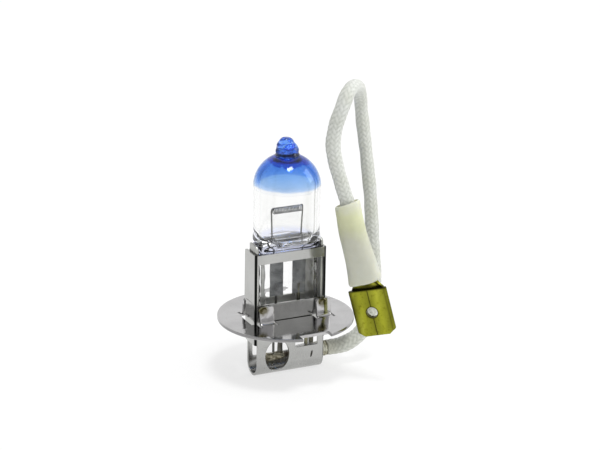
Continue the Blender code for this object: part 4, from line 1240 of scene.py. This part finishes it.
def rear_clamp(finish):
    """Inner sheet of the base: windowed rear plate and two sides that stand up as ears."""
    low, high = box_mm("rear_clamp")
    mid = INNER_SHEET / 2
    side_run = high[1] - BEND - low[1]
    turn = (BEND - mid) * math.pi / 2
    rear_run = high[0] - low[0] - 2 * BEND
    walk = [(side_run, 0), (turn, 90), (rear_run, 0), (turn, 90), (side_run, 0)]
    path = Bends((high[0] - mid, low[1]), 90.0, walk)
    end = 2 * side_run + 2 * turn + rear_run
    middle_x = (low[0] + high[0]) / 2
    ear = 1.4 - low[1]
    top = CLAMP_TOP
    outline = [(0.0, low[2]), (end, low[2]), (end, high[2] - 0.35), (end - 0.4, high[2])]
    outline += [(end - ear, high[2])]
    outline += [(end - ear, top), (ear, top), (ear, high[2]), (0.4, high[2]), (0.0, high[2] - 0.35)]

    def flat_x(x):
        return end / 2 - (x - middle_x)

    right, left = flat_x(3.6), flat_x(-3.3)
    window = rounded([(right, 3.2), (left, 3.2), (left, PLATE_WINDOW_TOP), (right, PLATE_WINDOW_TOP)], 0.4)
    flat = flat_pattern(rounded(outline, 0.12), [window], INNER_SHEET, EDGE)
    split_along(flat, 0, path.splits(8) + [flat_x(3.75), flat_x(3.9), flat_x(4.9)])
    split_along(flat, 1, [top + 0.02, top + 0.1, top + 0.22, top + 0.34])
    tones = []

    def fold(x, z):
        (px, py), (nx, ny) = path.at(x)
        # Painted shadow on the rear face's right stile, and a painted shade line along the sides just above
        # the outer sheet's top.
        shadow = 0.5 if ny > 0.99 and 3.7 < px < 4.95 else 0.0
        beside = abs(nx) > 0.99
        tones.append(max(shadow, 0.8 * beside * math.exp(-((z - top - 0.1) / 0.1) ** 2)))
        return (px, py, z), (nx, ny, 0.0)

    shape = Shape()
    shape.mesh(folded(flat, fold))
    shape.values = tones
    return shape.piece("clamp_rear", finish, ["rear_clamp"], 40.0, weighted=True)


def opening_outline():
    """Return the flange's opening with its slits, leaving the four tongues standing into it."""
    (left, front), (right, rear) = OPENING
    points = [(left, front)]
    for x, half_width in TONGUES["front"]:
        near, far = x - half_width, x + half_width
        points += [(near - TONGUE_SLIT, front), (near - TONGUE_SLIT, -TONGUE_ROOT), (near, -TONGUE_ROOT)]
        points += [(near, -0.4), (near + 0.28, -0.12), (far - 0.28, -0.12), (far, -0.4), (far, -TONGUE_ROOT)]
        points += [(far + TONGUE_SLIT, -TONGUE_ROOT), (far + TONGUE_SLIT, front)]
    points += [(right, front), (right, rear)]
    for x, half_width in TONGUES["rear"]:
        near, far = x + half_width, x - half_width
        points += [(near + TONGUE_SLIT, rear), (near + TONGUE_SLIT, TONGUE_ROOT), (near, TONGUE_ROOT)]
        points += [(near, 0.4), (near - 0.28, 0.12), (far + 0.28, 0.12), (far, 0.4), (far, TONGUE_ROOT)]
        points += [(far - TONGUE_SLIT, TONGUE_ROOT), (far - TONGUE_SLIT, rear)]
    points.append((left, rear))
    return points


def flange(finish):
    """The round seating flange, with its rim notch, and tongues bent up against the clamp."""
    high = box_mm("flange")[1]
    radius, thickness, tongue_top = high[0], FLANGE_THICKNESS, high[2]
    start = math.degrees(math.atan2(-math.sqrt(radius ** 2 - NOTCH_HIGH ** 2), NOTCH_HIGH))
    last = math.degrees(math.atan2(-math.sqrt(radius ** 2 - NOTCH_LOW ** 2), NOTCH_LOW)) + 360
    outline = [(NOTCH_HIGH, NOTCH_Y)] + arc((0, 0), radius, start, last, 150) + [(NOTCH_LOW, NOTCH_Y)]
    flat = flat_pattern(outline, [opening_outline()], thickness, 0.11)
    face, bend, limit = TONGUE_FACE, BEND, TONGUE_LEAN
    turn = bend * limit
    upright = (tongue_top - bend * (1 - math.cos(limit))) / math.sin(limit)
    root = face + bend * math.sin(limit) + upright * math.cos(limit)
    tip = 0.12
    stretch = (turn + upright) / (root - tip)
    lines = [root - turn / stretch * share for share in np.linspace(0.0, 1.0, 7)]
    split_along(flat, 1, lines + [-y for y in lines] + [-2.0, -1.4, -0.8, 0.8, 1.4, 2.0])
    for centre, half in TONGUES["front"] + TONGUES["rear"]:
        split_along(flat, 0, [centre + half * share for share in (-0.8, -0.5, -0.2, 0.2, 0.5, 0.8)])

    tones = []

    def fold(x, y):
        # Painted shade on the flange's rim edge, through the tone.
        tones.append(0.47 if math.hypot(x, y) > radius - 0.03 else 0.0)
        tongues = TONGUES["front" if y < 0 else "rear"]
        near = [(centre, half) for centre, half in tongues if abs(x - centre) < half + 0.1]
        run = (root - abs(y)) * stretch
        if not near or run <= 0:
            return (x, y, -thickness / 2), (0.0, 0.0, 1.0)
        side = math.copysign(1.0, y)
        angle = min(run / bend, limit)
        beyond = max(0.0, run - turn)
        inward = root - bend * math.sin(angle) - beyond * math.cos(limit)
        surface = (side * inward, bend * (1 - math.cos(angle)) + beyond * math.sin(limit))
        normal = (side * math.sin(angle), math.cos(angle))
        centre, half = near[0]
        bulge = TONGUE_BULGE * max(0.0, 1 - ((x - centre) / half) ** 2) * min(1.0, run / turn)
        middle = thickness / 2 * 0.87 - bulge
        return (x, surface[0] - normal[0] * middle, surface[1] - normal[1] * middle), (0.0, *normal)

    shape = Shape()
    shape.mesh(folded(flat, fold))
    shape.values = tones
    return shape.piece("seating_flange", finish, ["flange"], 40.0, weighted=True)


def spot_welds():
    """Weld marks on the upright tongues, front and rear."""
    finish = weld_heat()
    for place, side in (("front", -1.0), ("rear", 1.0)):
        shape = Shape()
        for x, face, z in WELDS[place]:
            weld_mark(shape, (x, face + 0.02 * side, z), side)
        shape.piece(f"spot_welds_{place}", finish, [], 60.0)


def weld_mark(shape, centre, side):
    """A shallow ring of squeezed metal round a dished nugget."""
    profile = [
        (0.02, 0.03), (0.2, 0.035), (0.32, 0.01), (0.43, 0.05), (0.56, 0.06), (0.66, 0.02), (0.72, -0.06),
    ]
    sides = 36
    angle = 2 * math.pi * np.arange(sides) / sides
    rings, tones = [], []
    for radius, rise in smooth_line(profile, 26):
        ragged = radius * (1 + 0.07 * np.sin(3 * angle + 4 * centre[0]) + 0.04 * np.sin(7 * angle))
        px = centre[0] + ragged * np.cos(angle)
        pz = np.minimum(centre[2] + ragged * np.sin(angle), 2.82)
        py = np.full(sides, centre[1] + side * rise)
        rings.append(np.stack([px, py, pz], axis=1))
        tones.append(np.full(sides, radius / 0.72 * 0.85))
    shape.tube(rings, caps=False, inward=side < 0, value=np.array(tones))


# Splice and the lead's ends


def crimp():
    """Folded crimp on the live wire, pinched unevenly, with the strands' cut ends beside it."""
    low, high = box_mm("splice_crimp")
    z = (low[2] + high[2]) / 2
    radius = (high[2] - low[2]) / 2
    shape = Shape()
    rows = 44
    sides = 40
    angle = 2 * math.pi * np.arange(sides) / sides
    rings = []
    for share in np.linspace(0.0, 1.0, rows):
        x = low[0] + (high[0] - low[0]) * share
        squeeze = 0.16 * math.sin(share * 12.0 + 0.7) + 0.07 * math.sin(share * 29.0)
        end = 1 - 0.3 * max(0.0, 1 - min(share, 1 - share) / 0.05)
        wave = 1 + 0.09 * np.sin(3 * angle + 5 * share) + 0.05 * np.sin(7 * angle - 9 * share)
        y = radius * (0.95 - 0.5 * squeeze) * end * wave * np.cos(angle)
        up = radius * (0.93 + 0.6 * squeeze) * end * wave * np.sin(angle)
        rings.append(np.stack([np.full(sides, x), y, z + np.clip(up, -radius, radius)], axis=1))
    shape.tube(rings)
    for k in range(7):
        turn = 2 * math.pi * k / 7
        y, rise = 0.3 * math.cos(turn), 0.3 * math.sin(turn)
        strand = [(low[0] + 0.5, y, z + rise), (low[0] - 0.05, y * 1.2, z + rise * 1.2)]
        strand += [(low[0] - 0.28 - 0.05 * (k % 3), y * 1.5, z + rise * 1.4)]
        shape.tube(round_rings(smooth_line(strand, 8), 0.085, 8))
    dark, light = (0.09, 0.075, 0.04), (0.55, 0.52, 0.4)
    finish = dull_metal("crimp_bronze", dark, light, 0.4, scale=1300.0, metallic=0.7)
    shape.piece("splice_joint", finish, ["splice_crimp"], 60.0)


def steadying_strip():
    """Flat strap beside the live wire, bent a little and flattened at its foot."""
    low, high = box_mm("splice_strip")
    rows = smooth_line([
        (low[2], 0.0, 1.06), (low[2] + 0.6, 0.03, 1.02), (low[2] + 2.5, -0.05, 0.94),
        (0.0, 0.0, 0.92), (high[2], 0.0, 0.9),
    ], 40)
    middle, half = (low[0] + high[0]) / 2, (high[0] - low[0]) / 2
    rings = [level_ring(z, half * wide, 0.15, 5.0, 32, centre=(middle, bow)) for z, bow, wide in rows]
    shape = Shape()
    shape.tube(rings)
    finish = dull_metal("strip_metal", (0.1, 0.095, 0.08), (0.24, 0.235, 0.215), 0.3, stretch=(1.0, 1.0, 0.3))
    shape.piece("steadying_strip", finish, ["splice_strip"], 60.0)


def stranded(name, node, knots, radius):
    """A twisted bundle of seven wires along a line."""
    line = smooth_line(knots, 120)
    _, across, along = directions(line)
    run = np.concatenate([[0.0], np.cumsum(np.linalg.norm(np.diff(line, axis=0), axis=1))])
    shape = Shape()
    wire = radius / 3
    shape.tube(round_rings(line, wire, 10))
    for k in range(6):
        turn = 2 * math.pi * (k / 6 + run / 5.0)
        shift = across * np.cos(turn)[:, None] + along * np.sin(turn)[:, None]
        shape.tube(round_rings(line + shift * 2 * wire, wire, 10))
    finish = dull_metal(f"{name}_copper", (0.16, 0.13, 0.1), (0.42, 0.38, 0.33), 0.35, scale=1500.0)
    shape.piece(name, finish, [node], 60.0)


def lead_end():
    """The braid's bound end in the trough's mouth: a fibre collar soaked in resin."""
    low, high = box_mm("lead_ferrule")
    z = (low[2] + high[2]) / 2
    radius = (high[2] - low[2]) / 2
    rows, sides = 60, 56
    angle = 2 * math.pi * np.arange(sides)[None, :] / sides
    share = np.linspace(0.0, 1.0, rows)[:, None]
    lips = [(0.0, 0.55), (0.05, 0.86), (0.16, 0.97), (0.5, 1.0), (0.86, 1.04), (0.95, 1.0), (1.0, 0.8)]
    lip = np.interp(share[:, 0], *zip(*lips))[:, None]
    thread = 0.03 * np.cos(2 * math.pi * (share * 5.0)) + 0.035 * np.sin(9 * angle + 14 * share)
    lump = 0.03 * np.sin(2 * angle + 7 * share + 1.0)
    ring_radius = radius * (lip + thread + lump) * 0.98
    line = np.stack([np.linspace(low[0], high[0] + 0.15, rows), np.zeros(rows), np.full(rows, z)], axis=1)
    shape = Shape()
    shape.tube(round_rings(line, ring_radius, sides))
    shape.piece("lead_end_collar", resin(), ["lead_ferrule"], 70.0)


def conductors():
    """The lead's copper strands, at the splice and inside the sleeve."""
    low, high = box_mm("conductor_at_base")
    z = (low[2] + high[2]) / 2
    knots = [(low[0], 0.0, z), ((low[0] + high[0]) / 2, 0.0, z), (high[0], 0.0, z)]
    stranded("base_strands", "conductor_at_base", knots, 0.42)
    top = np.array(LEAD_ROUTE[-1])
    turn = np.array(BLADE_TURN.to_matrix())
    barrel = [BLADE_TOP + turn @ np.array((0.0, 0.0, rise)) for rise in (5.6, 2.2)]
    knots = [top, (7.72, -8.98, 13.9), *barrel]
    stranded("terminal_strands", "conductor_at_terminal", knots, 0.42)


def build():
    camera()
    braid, line = lead_braid()
    sleeve = terminal_sleeve()
    blade = blade_terminal()
    studio()
    bright = nickel("polished_nickel", (0.5, 0.495, 0.498), 0.1, (1.0, 0.25, 1.0))
    front_clamp(nickel("nickel_sheet", (0.45, 0.452, 0.44), 0.12, (1.0, 1.0, 0.2)))
    # The rear sheet is painted darker above 11.2 mm, a painted shade on its ears.
    rear_clamp(nickel("satin_nickel_sheet", (0.8, 0.805, 0.775), 0.34, (1.0, 1.0, 0.2), 0.0112, 0.65))
    flange(bright)
    spot_welds()
    quartz_capsule()
    blue_dome_coat()
    sealed_tip()
    coil_filament()
    support_leg("left", -1)
    support_leg("right", 1)
    foil("left", 0.4)
    foil("right", 2.1)
    outer_leads()
    crimp()
    steadying_strip()
    lead_end()
    conductors()


build()
